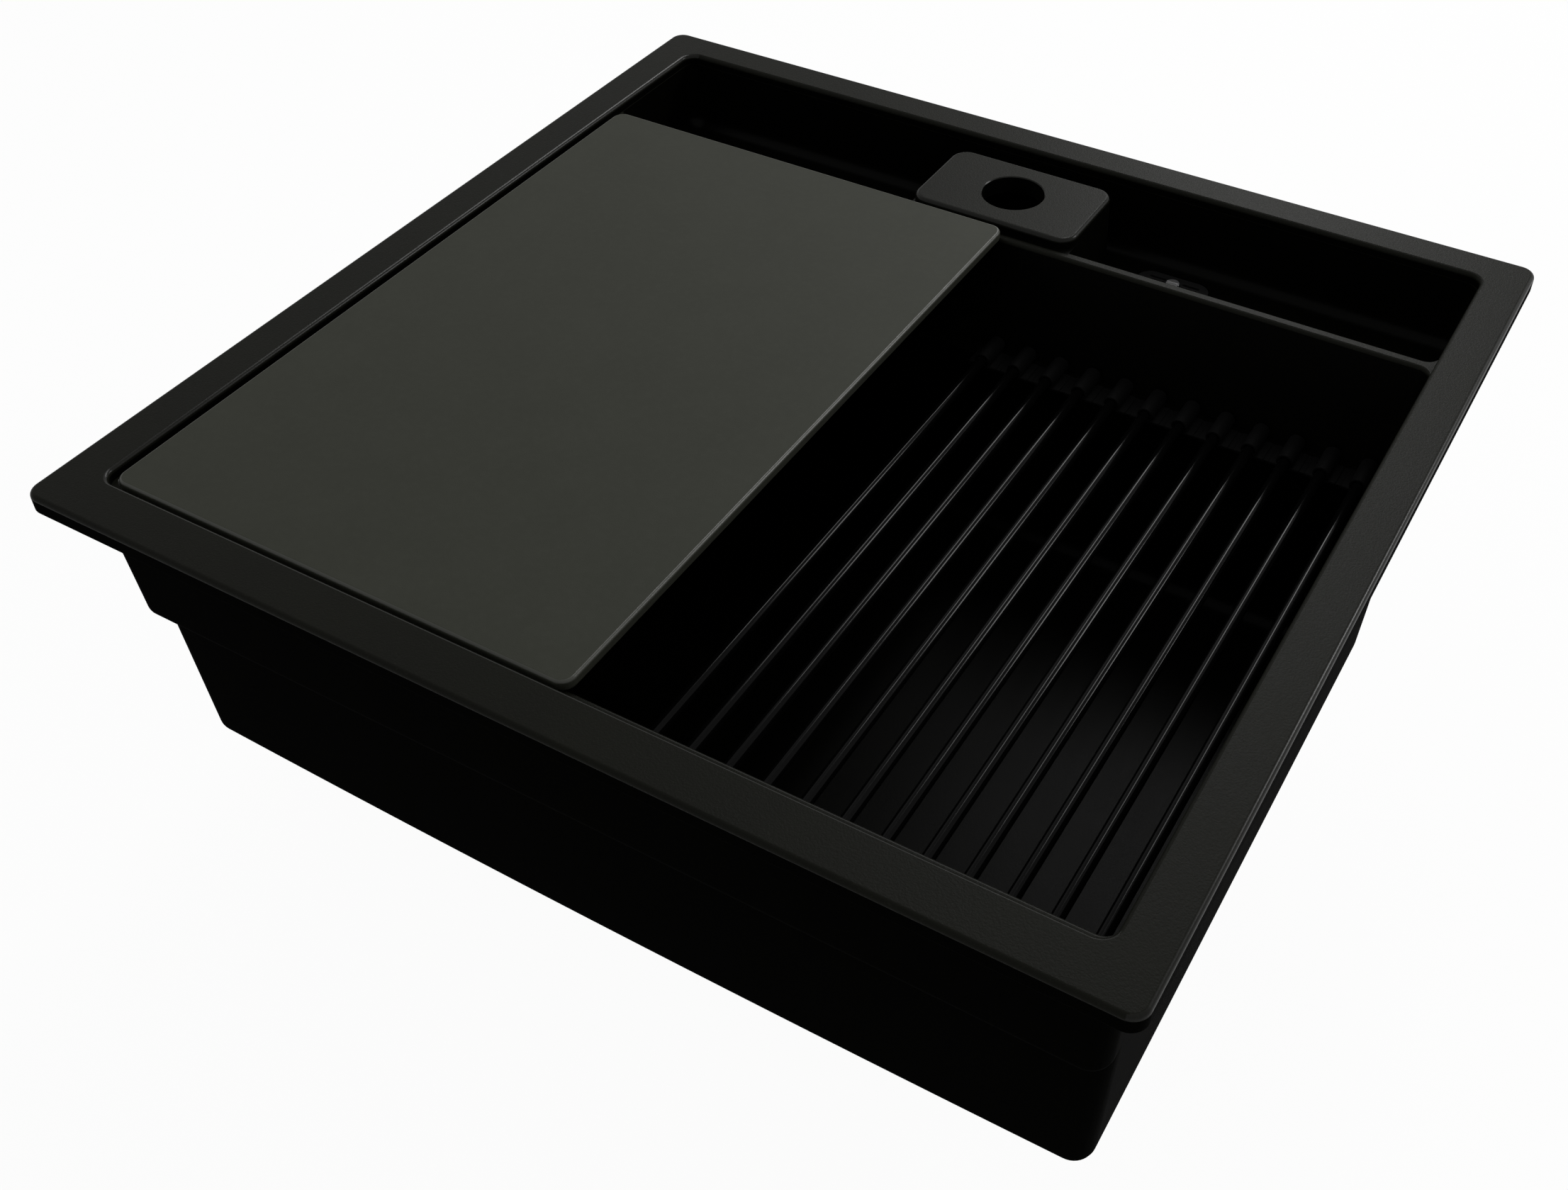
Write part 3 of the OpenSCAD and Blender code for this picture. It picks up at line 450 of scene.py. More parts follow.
# The rim plate and the outside blocks carry the darker outside finish: painted shade.
body = stack("sink", rim_plate, painted_shade_outer_composite)
upper_walls = rounded_foot(upper_outside_low, STEP, STEP_ROUND)
upper_walls.append(outline(upper_outside, RIM_UNDER + PAST))
upper = stack("upper", upper_walls, painted_shade_outer_composite)
lower_low = leaning(lower_outside, STEP - BOTTOM)
lower = cambered("lower", lower_outside, MAT_LEDGE - PAST, lower_low, BOTTOM, OUTER_ROUND)
trough_low = leaning(tray_outside, RIM_UNDER - TRAY_UNDER, hold_front=True)
trough_walls = rounded_foot(trough_low, TRAY_UNDER, OUTER_ROUND)
trough_walls.append(outline(tray_outside, RIM_UNDER + PAST))
trough = stack("trough", trough_walls, painted_shade_outer_composite)
for part in (upper, lower, trough):
    add(body, part)
print("outside:", len(body.data.polygons), "faces")

# %% [markdown]
# The hollows: the opening down to the board's ledge, the bowl in two steps, and the tray. Each
# mouth is rounded over, so the ledges and the divider have the soft edges of a casting.

# %% Cut the hollows
mouth = [outline(opening, BOARD_LEDGE)] + flared_mouth(opening, RIM_TOP, SOFT_EDGE, 5)
cut(body, stack("mouth", mouth, top_composite))
# The cutters leave the walls of the hollows with the darker inside finish: painted shade.
bowl = [outline(mat_ledge_edge, MAT_LEDGE)]
bowl += flared_mouth(bowl_mouth, BOARD_LEDGE, SOFT_EDGE, 3, (0, 1, 1))
cut(body, stack("bowl", bowl, painted_shade_inner_composite))
deep = rounded_foot(leaning(lower_mouth, MAT_LEDGE - FLOOR), FLOOR, BOWL_ROUND)
deep += flared_mouth(lower_mouth, MAT_LEDGE, LEDGE_EDGE, 3, (0, 1, 1))
cut(body, stack("deep", deep, painted_shade_inner_composite))
tray = rounded_foot(tray_foot, TRAY_FLOOR, TRAY_ROUND)
tray += flared_mouth(tray_mouth, BOARD_LEDGE, SOFT_EDGE, 3, (0, 1, 0))
cut(body, stack("tray", tray, painted_shade_inner_composite))
print("with its hollows:", len(body.data.polygons), "faces")

# %% [markdown]
# The tap pad rises from the tray's floor to the rim's level, and its front stands on a foot
# that widens the divider. It is hollow below, for the tap's shank, washer and nut.

# %% Set in the tap pad and cut the holes
TAP_RADIUS, WASTE_RADIUS, SEAT_RADIUS, BOSS_RADIUS = 17.5, 45.0, 57.8, 60.0
PAD_WALL, PAD_TOP_T, SEAT_DEPTH = 8, 10, 3.2
FOOT_PROUD = 0.02  # keeps the foot's top off the divider's, so that the join stays closed
TAP_LEAD = 0.9

pad_low = grown(PAD, DRAFT * (RIM_TOP - TRAY_FLOOR + PAST))
pad = [outline(pad_low, TRAY_FLOOR - PAST)] + rounded_head(PAD, RIM_TOP, SOFT_EDGE)
add(body, stack("pad", pad, top_composite))
# The foot, the tap hole, the waste's seat and the tray's slot take the darker inside finish: painted shade.
foot_box = [-49.17, 49.17, 159.2, 173.5, 0.5]
foot = [outline(foot_box, TRAY_FLOOR - PAST), outline(foot_box, BOARD_LEDGE + FOOT_PROUD)]
add(body, stack("foot", foot, painted_shade_inner_composite))
# The boss, the pad's hollow and the waste hole take the darker outside finish: painted shade.
add(body, pillar("boss", WASTE, BOSS_RADIUS, BOTTOM, FLOOR - PAST, painted_shade_outer_composite))
hollow_box = grown(PAD, -PAD_WALL)
hollow_box[4] = 6
hollow = [outline(hollow_box, TRAY_UNDER - PAST), outline(hollow_box, RIM_TOP - PAD_TOP_T)]
cut(body, stack("hollow", hollow, painted_shade_outer_composite))
tap = Vector((0, 192.25, 0))
tap_low = RIM_TOP - PAD_TOP_T - PAST
cut(body, pillar("tap_hole", tap, TAP_RADIUS, tap_low, RIM_TOP - 0.5, painted_shade_inner_composite))
tap_edge = pillar("tap_edge", tap, TAP_RADIUS, RIM_TOP - PAST, RIM_TOP + 0.4, painted_shade_inner_composite, TAP_LEAD)
cut(body, tap_edge)
cut(body, pillar("waste_hole", WASTE, WASTE_RADIUS, BOTTOM - PAST, FLOOR - PAST, painted_shade_outer_composite))
cut(body, pillar("flange_seat", WASTE, SEAT_RADIUS, FLOOR - SEAT_DEPTH, FLOOR + 2, painted_shade_inner_composite))


def slot_outline(length, width, z):
    """Two half circles and their sides, about the tray's outlet, anticlockwise from above"""
    points = []
    for side in (1, -1):
        for k in range(SLOT_STEPS + 1):
            a = math.radians(-90 + 180 * k / SLOT_STEPS)
            x = side * ((length - width) / 2 + width / 2 * math.cos(a))
            y = side * width / 2 * math.sin(a)
            points.append(Vector((TRAY_SLOT.x + x, TRAY_SLOT.y + y, z)) * MM)
    return points


SLOT_STEPS, COVER_DEPTH = 16, 1.6
for name, length, width, low, high in (
    ("slot", 34, 9, TRAY_UNDER - PAST, TRAY_FLOOR - PAST),
    ("slot_seat", 43, 18, TRAY_FLOOR - COVER_DEPTH, TRAY_FLOOR + 2),
):
    ends = [slot_outline(length, width, z) for z in (low, high)]
    cut(body, stack(name, ends, painted_shade_inner_composite))
print("whole body:", len(body.data.polygons), "faces")

# %% [markdown]
# Points that the joins and cuts left doubled are merged, and the shading is made smooth across
# the rounded edges, but not across edges sharper than 35 degrees. Weighted normals keep the big
# flat faces flat. Each face then gets its finish by its place and by the way it faces.

# %% Smooth the body and give it its finishes by place
MERGE = 2e-6
LEVEL, UPRIGHT, TURNED = 0.985, 0.14, 0.1  # limits of a face's normal


def merged(mesh):
    bmesh.ops.remove_doubles(mesh, verts=mesh.verts, dist=MERGE)
    bmesh.ops.dissolve_degenerate(mesh, edges=mesh.edges, dist=MERGE)


def tidy_mesh(piece, angle=35.0):
    """Merges doubled points, smooths up to the angle and counts the edges left open"""
    mesh = bmesh.new()
    mesh.from_mesh(piece.data)
    merged(mesh)
    limit = math.radians(angle)
    for face in mesh.faces:
        face.smooth = True
    open_edges = 0
    for edge in mesh.edges:
        open_edges += len(edge.link_faces) != 2
        edge.smooth = len(edge.link_faces) == 2 and edge.calc_face_angle(0) < limit
    mesh.to_mesh(piece.data)
    mesh.free()
    return open_edges


def weighted(piece):
    """Weighted normals, applied"""
    modifier = piece.modifiers.new("normals", "WEIGHTED_NORMAL")
    modifier.keep_sharp = True
    applied(piece, modifier)


open_edges = tidy_mesh(body)
names = [m.name for m in body.data.materials]
top_index = names.index(top_composite.name)
painted_shade_outer_index = names.index(painted_shade_outer_composite.name)
painted_shade_inner_index = names.index(painted_shade_inner_composite.name)
body.data.materials.append(edge_composite)
edge_index = len(body.data.materials) - 1
pad_side, pad_front, pad_back = PAD[1] + 1, PAD[2] - 1, PAD[3] + 1
for face in body.data.polygons:
    x, y, z = face.center / MM
    rounded = UPRIGHT < face.normal.z < LEVEL
    upright = abs(face.normal.z) < UPRIGHT
    if z > RIM_TOP - SOFT_EDGE:
        on_pad = abs(x) < pad_side and pad_front < y < pad_back
        if rounded and (on_pad or face.normal.x > TURNED or face.normal.y > TURNED):
            face.material_index = edge_index
        elif face.material_index == painted_shade_outer_index:
            face.material_index = top_index
    elif rounded and z > BOARD_LEDGE - SOFT_EDGE:
        face.material_index = edge_index if face.normal.y > TURNED and y < 0 else top_index
    # Upright walls of the opening get the darker inside finish: painted shade.
    elif upright and face.material_index == top_index:
        face.material_index = painted_shade_inner_index
weighted(body)
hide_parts("sink_body")
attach(body, "sink")
print("body:", len(body.data.vertices), "points,", open_edges, "open edges")

# %% [markdown]
# ## The cutting board
# A thin board of compact laminate with rounded edges lies on the upper ledge, flush with the
# rim. Its face has a very fine matt texture, a faint cloudiness and hardly any shine. A bevelled
# cube would do, but its corners and its edges then share one radius. A stack of outlines gives
# each its own.

# %% Cutting board
def laminate(name, rough, shine):
    f = Finish(name, Specular_IOR_Level=shine)
    fine = f.noise(0.0005, 3.0, 0.6)
    cloud = f.noise(0.03, 3.0, 0.55)
    streak = f.noise(0.004, 2.0, 0.5)
    tone = f.mix(cloud, (0.0300, 0.0318, 0.0240, 1), (0.0370, 0.0388, 0.0300, 1))
    return f.set(
        Base_Color=f.mix(streak.ramp(0.45, 0.75) * 0.3, tone, (0.042, 0.044, 0.035, 1)),
        Roughness=rough + (fine - 0.5) * 0.14,
        Normal=f.bump(fine, 0.22, 0.00020),
    )


board_finish = laminate("board_laminate", 0.60, 0.10)
board_edge_finish = laminate("board_edge", 0.32, 0.35)
board_box = [-243.5, 11.7, -235.0, 158.1, 7]
BOARD_ROUND = 1.8
board_rings = rounded_foot(board_box, BOARD_LEDGE, BOARD_ROUND)
board_rings += rounded_head(board_box, RIM_TOP, BOARD_ROUND)
board = stack("board", board_rings, board_finish)
print("board:", tidy_mesh(board), "open edges")
board.data.materials.append(board_edge_finish)
for face in board.data.polygons:
    if abs(face.normal.z) < LEVEL:
        face.material_index = 1
weighted(board)
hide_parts("cutting_board")
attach(board, "board")
low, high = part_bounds("cutting_board")
print("board in the model:", [round(v * 1000, 1) for v in (*low, *high)])

# %% [markdown]
# ## Plastic, rubber and steel
# Every other material of the sink, under the name of its slot in the record. Coatings and
# mouldings are near black, and differ in how smooth they are. Materials of one kind differ only
# in a few numbers, so each kind is one function.

# %% Finishes of the plastic, rubber and steel
def rubber(name, level, shine=0.2):
    f = Finish(name, Specular_IOR_Level=shine)
    fine = f.noise(0.0005, 3.0, 0.6)
    dust = f.noise(0.006, 3.0, 0.6)
    return f.set(
        Base_Color=f.mix(dust, grey(level * 0.85), grey(level * 1.25)),
        Roughness=0.62 + (fine - 0.5) * 0.2,
        Normal=f.bump(fine, 0.25, 0.0002),
    )


def coated_steel(name, level, rough, shine):
    f = Finish(name, Specular_IOR_Level=shine)
    fine = f.noise(0.0004, 2.0, 0.5)
    cloud = f.noise(0.012, 2.0, 0.5)
    return f.set(
        Base_Color=f.mix(cloud, grey(level * 0.9), grey(level * 1.2)),
        Roughness=rough + (fine - 0.5) * 0.08,
        Normal=f.bump(fine, 0.06, 0.00010),
    )


def moulded(name, level, rough):
    f = Finish(name, Specular_IOR_Level=0.4)
    fine = f.noise(0.0009, 3.0, 0.55)
    flow = f.noise(0.02, 2.0, 0.5)
    return f.set(
        Base_Color=f.mix(flow, grey(level * 0.9), grey(level * 1.15)),
        Roughness=rough + (fine - 0.5) * 0.12,
        Normal=f.bump(fine, 0.15, 0.0002),
    )


def plain_steel(name):
    f = Finish(name, Metallic=1.0)
    stretch = f.node("ShaderNodeMapping", {}, {"Vector": f.place(), "Scale": (1.0, 1.0, 0.05)})
    brush = f.noise(0.0004, 2.0, 0.5, stretch)
    return f.set(
        Base_Color=f.mix(brush, (0.50, 0.50, 0.50, 1), (0.62, 0.62, 0.62, 1)),
        Roughness=0.28 + brush * 0.12,
        Normal=f.bump(brush, 0.05, 0.0001),
    )


finishes = {
    "composite": painted_shade_outer_composite,
    "board": board_finish,
    "foam": rubber("foam_strip", 0.02),
    "rubber": rubber("gasket_rubber", 0.012),
    "silicone": rubber("mat_silicone", 0.0035, 0.03),
    "black_steel": coated_steel("black_steel", 0.012, 0.30, 0.4),
    "bar_steel": coated_steel("bar_steel", 0.0015, 0.12, 0.06),
    "steel": plain_steel("plain_steel"),
    "pipe_plastic": moulded("pipe_plastic", 0.016, 0.42),
    "hose_plastic": moulded("hose_plastic", 0.09, 0.45),
}
print(len(finishes), "finishes")

# %% [markdown]
# ## Turned pieces
# Bars and sleeves are profiles turned about an axis. `eased` rounds the corners of a profile, so
# that no turned edge is razor sharp.

# %% Profiles turned about Z
EASE_STEPS = 4
EASE_SHARE = 0.45


def eased(profile, radius):
    """The profile [(radius, height), ...] with its corners rounded, but for its two ends"""
    soft = [profile[0]]
    for before, corner, after in zip(profile, profile[1:], profile[2:]):
        here = Vector(corner)
        to_last, to_next = Vector(before) - here, Vector(after) - here
        back = min(radius, to_last.length * EASE_SHARE, to_next.length * EASE_SHARE)
        start = here + to_last.normalized() * back
        end = here + to_next.normalized() * back
        for step in range(EASE_STEPS + 1):
            t = step / EASE_STEPS
            soft.append(tuple(start * (1 - t) ** 2 + here * (2 * t * (1 - t)) + end * t**2))
    return soft + [profile[-1]]


def turned(name, profile, sides=40):
    """The profile in mm turned about Z"""
    points, rows = [], []
    for r, h in profile:
        count = sides if r > 1e-6 else 1
        rows.append(range(len(points), len(points) + count))
        turns = [2 * math.pi * k / sides for k in range(count)]
        points += [Vector((r * math.cos(a), r * math.sin(a), h)) * MM for a in turns]
    faces = []
    for a, b in zip(rows, rows[1:]):
        for k in range(sides):
            m = (k + 1) % sides
            face = list(dict.fromkeys([a[k % len(a)], a[m % len(a)], b[m % len(b)], b[k % len(b)]]))
            if len(face) > 2:
                faces.append(face)
    return outward(mesh_object(name, points, faces))


def outward(piece):
    mesh = bmesh.new()
    mesh.from_mesh(piece.data)
    bmesh.ops.recalc_face_normals(mesh, faces=mesh.faces)
    mesh.to_mesh(piece.data)
    mesh.free()
    return piece


def joined(name, pieces):
    """One object with the meshes of several, which are used up"""
    mesh = bmesh.new()
    for piece in pieces:
        mesh.from_mesh(piece.data)
        old = piece.data
        bpy.data.objects.remove(piece)
        bpy.data.meshes.remove(old)
    made = mesh_object(name, [], [])
    mesh.to_mesh(made.data)
    mesh.free()
    return made


TO_BACK = Matrix.Rotation(-math.pi / 2, 4, "X")
TO_FRONT = Matrix.Rotation(math.pi / 2, 4, "X")
print("a turned piece can lie along Y")

# %% [markdown]
# ## Geometry Nodes by recipe
# A recipe is a Geometry Nodes group with named inputs. `made_by` runs it once, keeps the mesh
# that it makes and takes the modifier away again.

# %% Recipes
class Recipe(Nodes):
    def __init__(self, name, **inputs):
        self.tree = bpy.data.node_groups.new(name, "GeometryNodeTree")
        sockets = self.tree.interface
        sockets.new_socket("Geometry", in_out="OUTPUT", socket_type="NodeSocketGeometry")
        self.sockets = {}
        for label, kind in inputs.items():
            made = sockets.new_socket(label, in_out="INPUT", socket_type="NodeSocket" + kind)
            self.sockets[label] = made.identifier
        self.entry = self.tree.nodes.new("NodeGroupInput")
        self.exit = self.tree.nodes.new("NodeGroupOutput")

    def given(self, label):
        return Value(self, self.entry.outputs[label])

    def source(self, label):
        """The geometry of an input object, where it stands"""
        inputs = {"Object": self.given(label)}
        return self.node("GeometryNodeObjectInfo", {"transform_space": "RELATIVE"}, inputs, "Geometry")

    def finished(self, geometry, label):
        """Instances made real, with the material of an input"""
        real = self.node("GeometryNodeRealizeInstances", {}, {"Geometry": geometry})
        inputs = {"Geometry": real, "Material": self.given(label)}
        return self.node("GeometryNodeSetMaterial", {}, inputs)

    def gives(self, *parts):
        together = self.tree.nodes.new("GeometryNodeJoinGeometry")
        for part in parts:
            self.tree.links.new(part.socket, together.inputs[0])
        self.tree.links.new(together.outputs[0], self.exit.inputs[0])


def made_by(recipe, name, **values):
    holder = mesh_object(name, [], [])
    modifier = holder.modifiers.new("recipe", "NODES")
    modifier.node_group = recipe.tree
    for label, value in values.items():
        modifier[recipe.sockets[label]] = value
    return applied(holder, modifier)


print("recipes are ready")

# %% [markdown]
# ## The draining mat
# Each link is a round coated bar with a silicone grip on both ends: a sleeve round the bar and
# a flat web beside it. The web stands back from the sleeve's closed end, so that these ends
# show as a row of knuckles. All links are alike, so one is modelled here, at the first bar's
# place, and a recipe repeats it.

# %% One link of the mat
def part_box(node):
    return [[round(v * 1000, 3) for v in corner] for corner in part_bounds(node)]


LINKS = [f"mat_{k:02d}" for k in range(1, 13)]
bar_boxes = [part_box(f"mat_bar_{k:02d}") for k in range(1, 13)]
centres = [(low[0] + high[0]) / 2 for low, high in bar_boxes]
PITCH = centres[1] - centres[0]
grips_low, grips_high = part_box("mat_grips_01")
bar_low, bar_high = bar_boxes[0]
axis_z = (bar_low[2] + bar_high[2]) / 2
sleeve_r = axis_z - grips_low[2]
SLEEVE, WEB_BACK, WEB_T, GAP = 20.0, 4.0, 2.0, 2.4
SLEEVE_PLAY, SLEEVE_END = 0.1, 2.0
bar_r, bar_length = (bar_high[2] - bar_low[2]) / 2, bar_high[1] - bar_low[1]
web_half = (PITCH - GAP) / 2

bar_profile = eased([(0, 0), (bar_r, 0), (bar_r, bar_length), (0, bar_length)], 0.7)
link_bar = turned("link_bar", bar_profile, sides=32)
bar_place = Vector((centres[0], bar_low[1], axis_z)) * MM
link_bar.data.transform(Matrix.Translation(bar_place) @ TO_BACK)
tidy_mesh(link_bar, 40)


def grip(end_y, inward):
    """A sleeve with its web, whose closed end is at end_y"""
    outside = [(0, 0), (sleeve_r, 0), (sleeve_r, SLEEVE)]
    bore_r = bar_r + SLEEVE_PLAY
    bore = [(bore_r, SLEEVE), (bore_r, SLEEVE_END), (0, SLEEVE_END)]
    sleeve = turned("sleeve", eased(outside + bore, 0.9))
    sleeve.data.transform(TO_BACK if inward > 0 else TO_FRONT)
    sleeve.data.transform(Matrix.Translation(Vector((0, 0, sleeve_r)) * MM))
    ends = sorted((inward * WEB_BACK, inward * SLEEVE))
    web_box = [-web_half, web_half, ends[0], ends[1], 1.2]
    web = stack("web", rounded_foot(web_box, 0, 0.7, 4) + rounded_head(web_box, WEB_T, 0.7, 4))
    both = joined("grip", [sleeve, web])
    both.data.transform(Matrix.Translation(Vector((centres[0], end_y, grips_low[2])) * MM))
    return both


link_grips = joined("link_grips", [grip(grips_low[1], 1), grip(grips_high[1], -1)])
tidy_mesh(link_grips, 40)
print("bar", bar_r * 2, "x", round(bar_length, 1), "mm, pitch", round(PITCH, 2))

# %% [markdown]
# The recipe sets the link on a line of points and gives bars and grips their own materials. The
# row is parted by the nearest bar, and each part stands for that link's two solids.

# %% Repeat the link and part the row
row_recipe = Recipe(
    "mat_row",
    Count="Int",
    Pitch="Float",
    Bar="Object",
    Grips="Object",
    Steel="Material",
    Silicone="Material",
)
step = row_recipe.node("ShaderNodeCombineXYZ", {}, {"X": row_recipe.given("Pitch")})
spacing = {"Count": row_recipe.given("Count"), "Offset": step}
line = row_recipe.node("GeometryNodeMeshLine", {"mode": "OFFSET"}, spacing)
parts = []
for source, material in (("Bar", "Steel"), ("Grips", "Silicone")):
    inputs = {"Points": line, "Instance": row_recipe.source(source)}
    spread = row_recipe.node("GeometryNodeInstanceOnPoints", {}, inputs)
    parts.append(row_recipe.finished(spread, material))
row_recipe.gives(*parts)
row = made_by(
    row_recipe,
    "mat_row",
    Count=len(LINKS),
    Pitch=PITCH * MM,
    Bar=link_bar,
    Grips=link_grips,
    Steel=finishes["bar_steel"],
    Silicone=finishes["silicone"],
)
for used in (link_bar, link_grips):
    bpy.data.meshes.remove(used.data)


def parted(piece, centre, name):
    """A copy of the faces whose middle is nearest to a bar's centre line"""
    mesh = bmesh.new()
    mesh.from_mesh(piece.data)
    far = [f for f in mesh.faces if abs(f.calc_center_median().x - centre * MM) > PITCH * MM / 2]
    bmesh.ops.delete(mesh, geom=far, context="FACES")
    made = mesh_object(name, [], [])
    mesh.to_mesh(made.data)
    mesh.free()
    for material in piece.data.materials:
        made.data.materials.append(material)
    return made


for k, link in enumerate(LINKS):
    made = parted(row, centres[k], f"link_{k + 1:02d}")
    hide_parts(f"mat_bar_{k + 1:02d}", f"mat_grips_{k + 1:02d}")
    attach(made, link)
print("row:", len(row.data.polygons), "faces in", len(row.data.materials), "materials")
bpy.data.meshes.remove(row.data)

# %% [markdown]
# Between two webs the silicone is thinner: that groove is where the mat bends. A thin strip at
# each end bridges it.

# %% Bridges between the links
BRIDGE_CUTS = 8
BRIDGE_LAP, BRIDGE_INSET = 1.1, 0.5
bridge_z0, bridge_z1 = grips_low[2] + 0.45, grips_low[2] + WEB_T - 0.55


def bridge(x0, x1, y0, y1):
    """A flat strip that laps both webs, with cuts across it"""
    rings = []
    for k in range(BRIDGE_CUTS + 1):
        x = x0 - BRIDGE_LAP + (x1 - x0 + 2 * BRIDGE_LAP) * k / BRIDGE_CUTS
        corners = ((y0, bridge_z0), (y1, bridge_z0), (y1, bridge_z1), (y0, bridge_z1))
        rings.append([Vector((x, y, z)) * MM for y, z in corners])
    return outward(stack("bridge", rings))


far, near = SLEEVE - BRIDGE_INSET, WEB_BACK + BRIDGE_INSET
for k in range(len(LINKS) - 1):
    x0, x1 = centres[k] + web_half, centres[k + 1] - web_half
    front = bridge(x0, x1, grips_low[1] + near, grips_low[1] + far)
    back = bridge(x0, x1, grips_high[1] - far, grips_high[1] - near)
    strip = joined(f"bridge_{k + 1:02d}", [front, back])
    strip.data.materials.append(finishes["silicone"])
    tidy_mesh(strip, 30)
    start, end = (x0 * MM, 0, bridge_z0 * MM), (x1 * MM, 0, bridge_z0 * MM)
    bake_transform(strip)
print(len(LINKS) - 1, "bridges")

# %% [markdown]
# ## The hose
# The ribbed hose runs from the tray's outlet, behind the bowl and under it to the waste. Its
# route is the same as in the solid. Ribs set on a tube one by one would leave a seam at each of
# them. So a recipe sweeps one ring along the route, and its radius swings with the length, plain
# over the two cuffs and ribbed between them.

# %% Route of the hose
def curve_point(a, b, c, d, u):
    """A point on the smooth curve from b to c, which a and d steer"""
    bend, twist = 2 * a - 5 * b + 4 * c - d, 3 * b - a - 3 * c + d
    return 0.5 * (2 * b + (c - a) * u + bend * u**2 + twist * u**3)


hose_from = Vector((90, 219, -77.9))
hose_to = Vector((-160, 11, -203.9))
from_steps = (
    (0, 0, 0), (0, 0, -12), (0, 0, -24), (-2, -1, -47), (-8, -4, -70),
    (-19, -10, -92), (-36, -19, -111), (-57, -30, -123), (-81, -42, -129), (-107, -53, -131),
)
to_steps = (
    (117, 144, -6), (92, 133, -5), (68, 121, -4), (46, 107, -3), (27, 90, -2),
    (13, 71, -1), (4, 49, 0), (0, 25, 0), (0, 13, 0), (0, 0, 0),
)
route = [hose_from + Vector(v) for v in from_steps] + [hose_to + Vector(v) for v in to_steps]
SPAN_STEPS = 10
hose_points = []
for k in range(len(route) - 1):
    a, b, c, d = (route[min(max(k + m, 0), len(route) - 1)] for m in (-1, 0, 1, 2))
    hose_points += [curve_point(a, b, c, d, u / SPAN_STEPS) * MM for u in range(SPAN_STEPS)]
hose_points.append(hose_to * MM)
hose_length = sum((q - p).length for p, q in zip(hose_points, hose_points[1:]))
print("hose:", round(hose_length * 1000, 1), "mm long")

# %% [markdown]
# The recipe first divides the route into short steps, eight of them to a rib, so that the swing
# of the radius comes out round. The bore is a second, plain tube, turned inside out. Once the
# recipe has run, the two tubes are joined at their ends.

# %% Sweep the ribbed hose
CUFF, CUFF_FADE, RIB_PITCH, CREST, ROOT, BORE = 20.0, 2.0, 4.4, 12.5, 11.2, 9.8
FINE_STEP, HOSE_SIDES = 0.55, 32


def swept(recipe, curve, radius):
    """A tube about the curve, its radius in metres a number or a sum"""
    circle = {"Resolution": HOSE_SIDES, "Radius": 1.0}
    ring = recipe.node("GeometryNodeCurvePrimitiveCircle", {}, circle)
    sweep = {"Curve": curve, "Profile Curve": ring, "Scale": radius}
    return recipe.node("GeometryNodeCurveToMesh", {}, sweep)


line_data = bpy.data.curves.new("hose_line", "CURVE")
line_data.dimensions = "3D"
spline = line_data.splines.new("POLY")
spline.points.add(len(hose_points) - 1)
for point, p in zip(spline.points, hose_points):
    point.co = (*p, 1)
hose_line = bpy.data.objects.new("hose_line", line_data)
bpy.context.scene.collection.objects.link(hose_line)

hose_recipe = Recipe("ribbed_hose", Line="Object", Length="Float", Plastic="Material")
inputs = {"Curve": hose_recipe.source("Line"), "Length": FINE_STEP * MM}
fine_line = hose_recipe.node("GeometryNodeResampleCurve", {"mode": "LENGTH"}, inputs)
along = hose_recipe.node("GeometryNodeSplineParameter", {}, {}, "Length")
wave = (along * (2 * math.pi / (RIB_PITCH * MM))).sine()
cuff_end, ribs_start = CUFF * MM, (CUFF + CUFF_FADE) * MM
after_first = along.ramp(cuff_end, ribs_start)
before_last = (hose_recipe.given("Length") - along).ramp(cuff_end, ribs_start)
ribbed = after_first * before_last
swing = (CREST - ROOT) / 2 * MM
radius = CREST * MM - ribbed * ((1 - wave) * swing)
outer = swept(hose_recipe, fine_line, radius)
inner = hose_recipe.node("GeometryNodeFlipFaces", {}, {"Mesh": swept(hose_recipe, fine_line, BORE * MM)})
hose_recipe.gives(hose_recipe.finished(outer, "Plastic"), hose_recipe.finished(inner, "Plastic"))
plastic = finishes["hose_plastic"]
hose = made_by(hose_recipe, "ribbed_hose", Line=hose_line, Length=hose_length, Plastic=plastic)
bpy.data.curves.remove(line_data)

mesh = bmesh.new()
mesh.from_mesh(hose.data)
rims = [edge for edge in mesh.edges if edge.is_boundary]
for end in (hose_points[0], hose_points[-1]):
    end_rims = [edge for edge in rims if (edge.verts[0].co - end).length < 2 * CREST * MM]
    bmesh.ops.bridge_loops(mesh, edges=end_rims)
bmesh.ops.recalc_face_normals(mesh, faces=mesh.faces)
mesh.to_mesh(hose.data)
mesh.free()
print("hose mesh:", len(hose.data.polygons), "faces,", tidy_mesh(hose, 50), "open edges")
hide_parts("overflow_hose")
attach(hose, "sink")

# %% [markdown]
# ## The waste, the basket and the outlet
# Their solids have the right shape, with every hole and arm, so nothing is modelled again. A
# copy of each gets its facets merged, its sharp edges eased by a few tenths of a millimetre and
# its curved faces smoothed.

# %% Ease and smooth the small parts
FACET, SHARP = math.radians(0.6), math.radians(40)


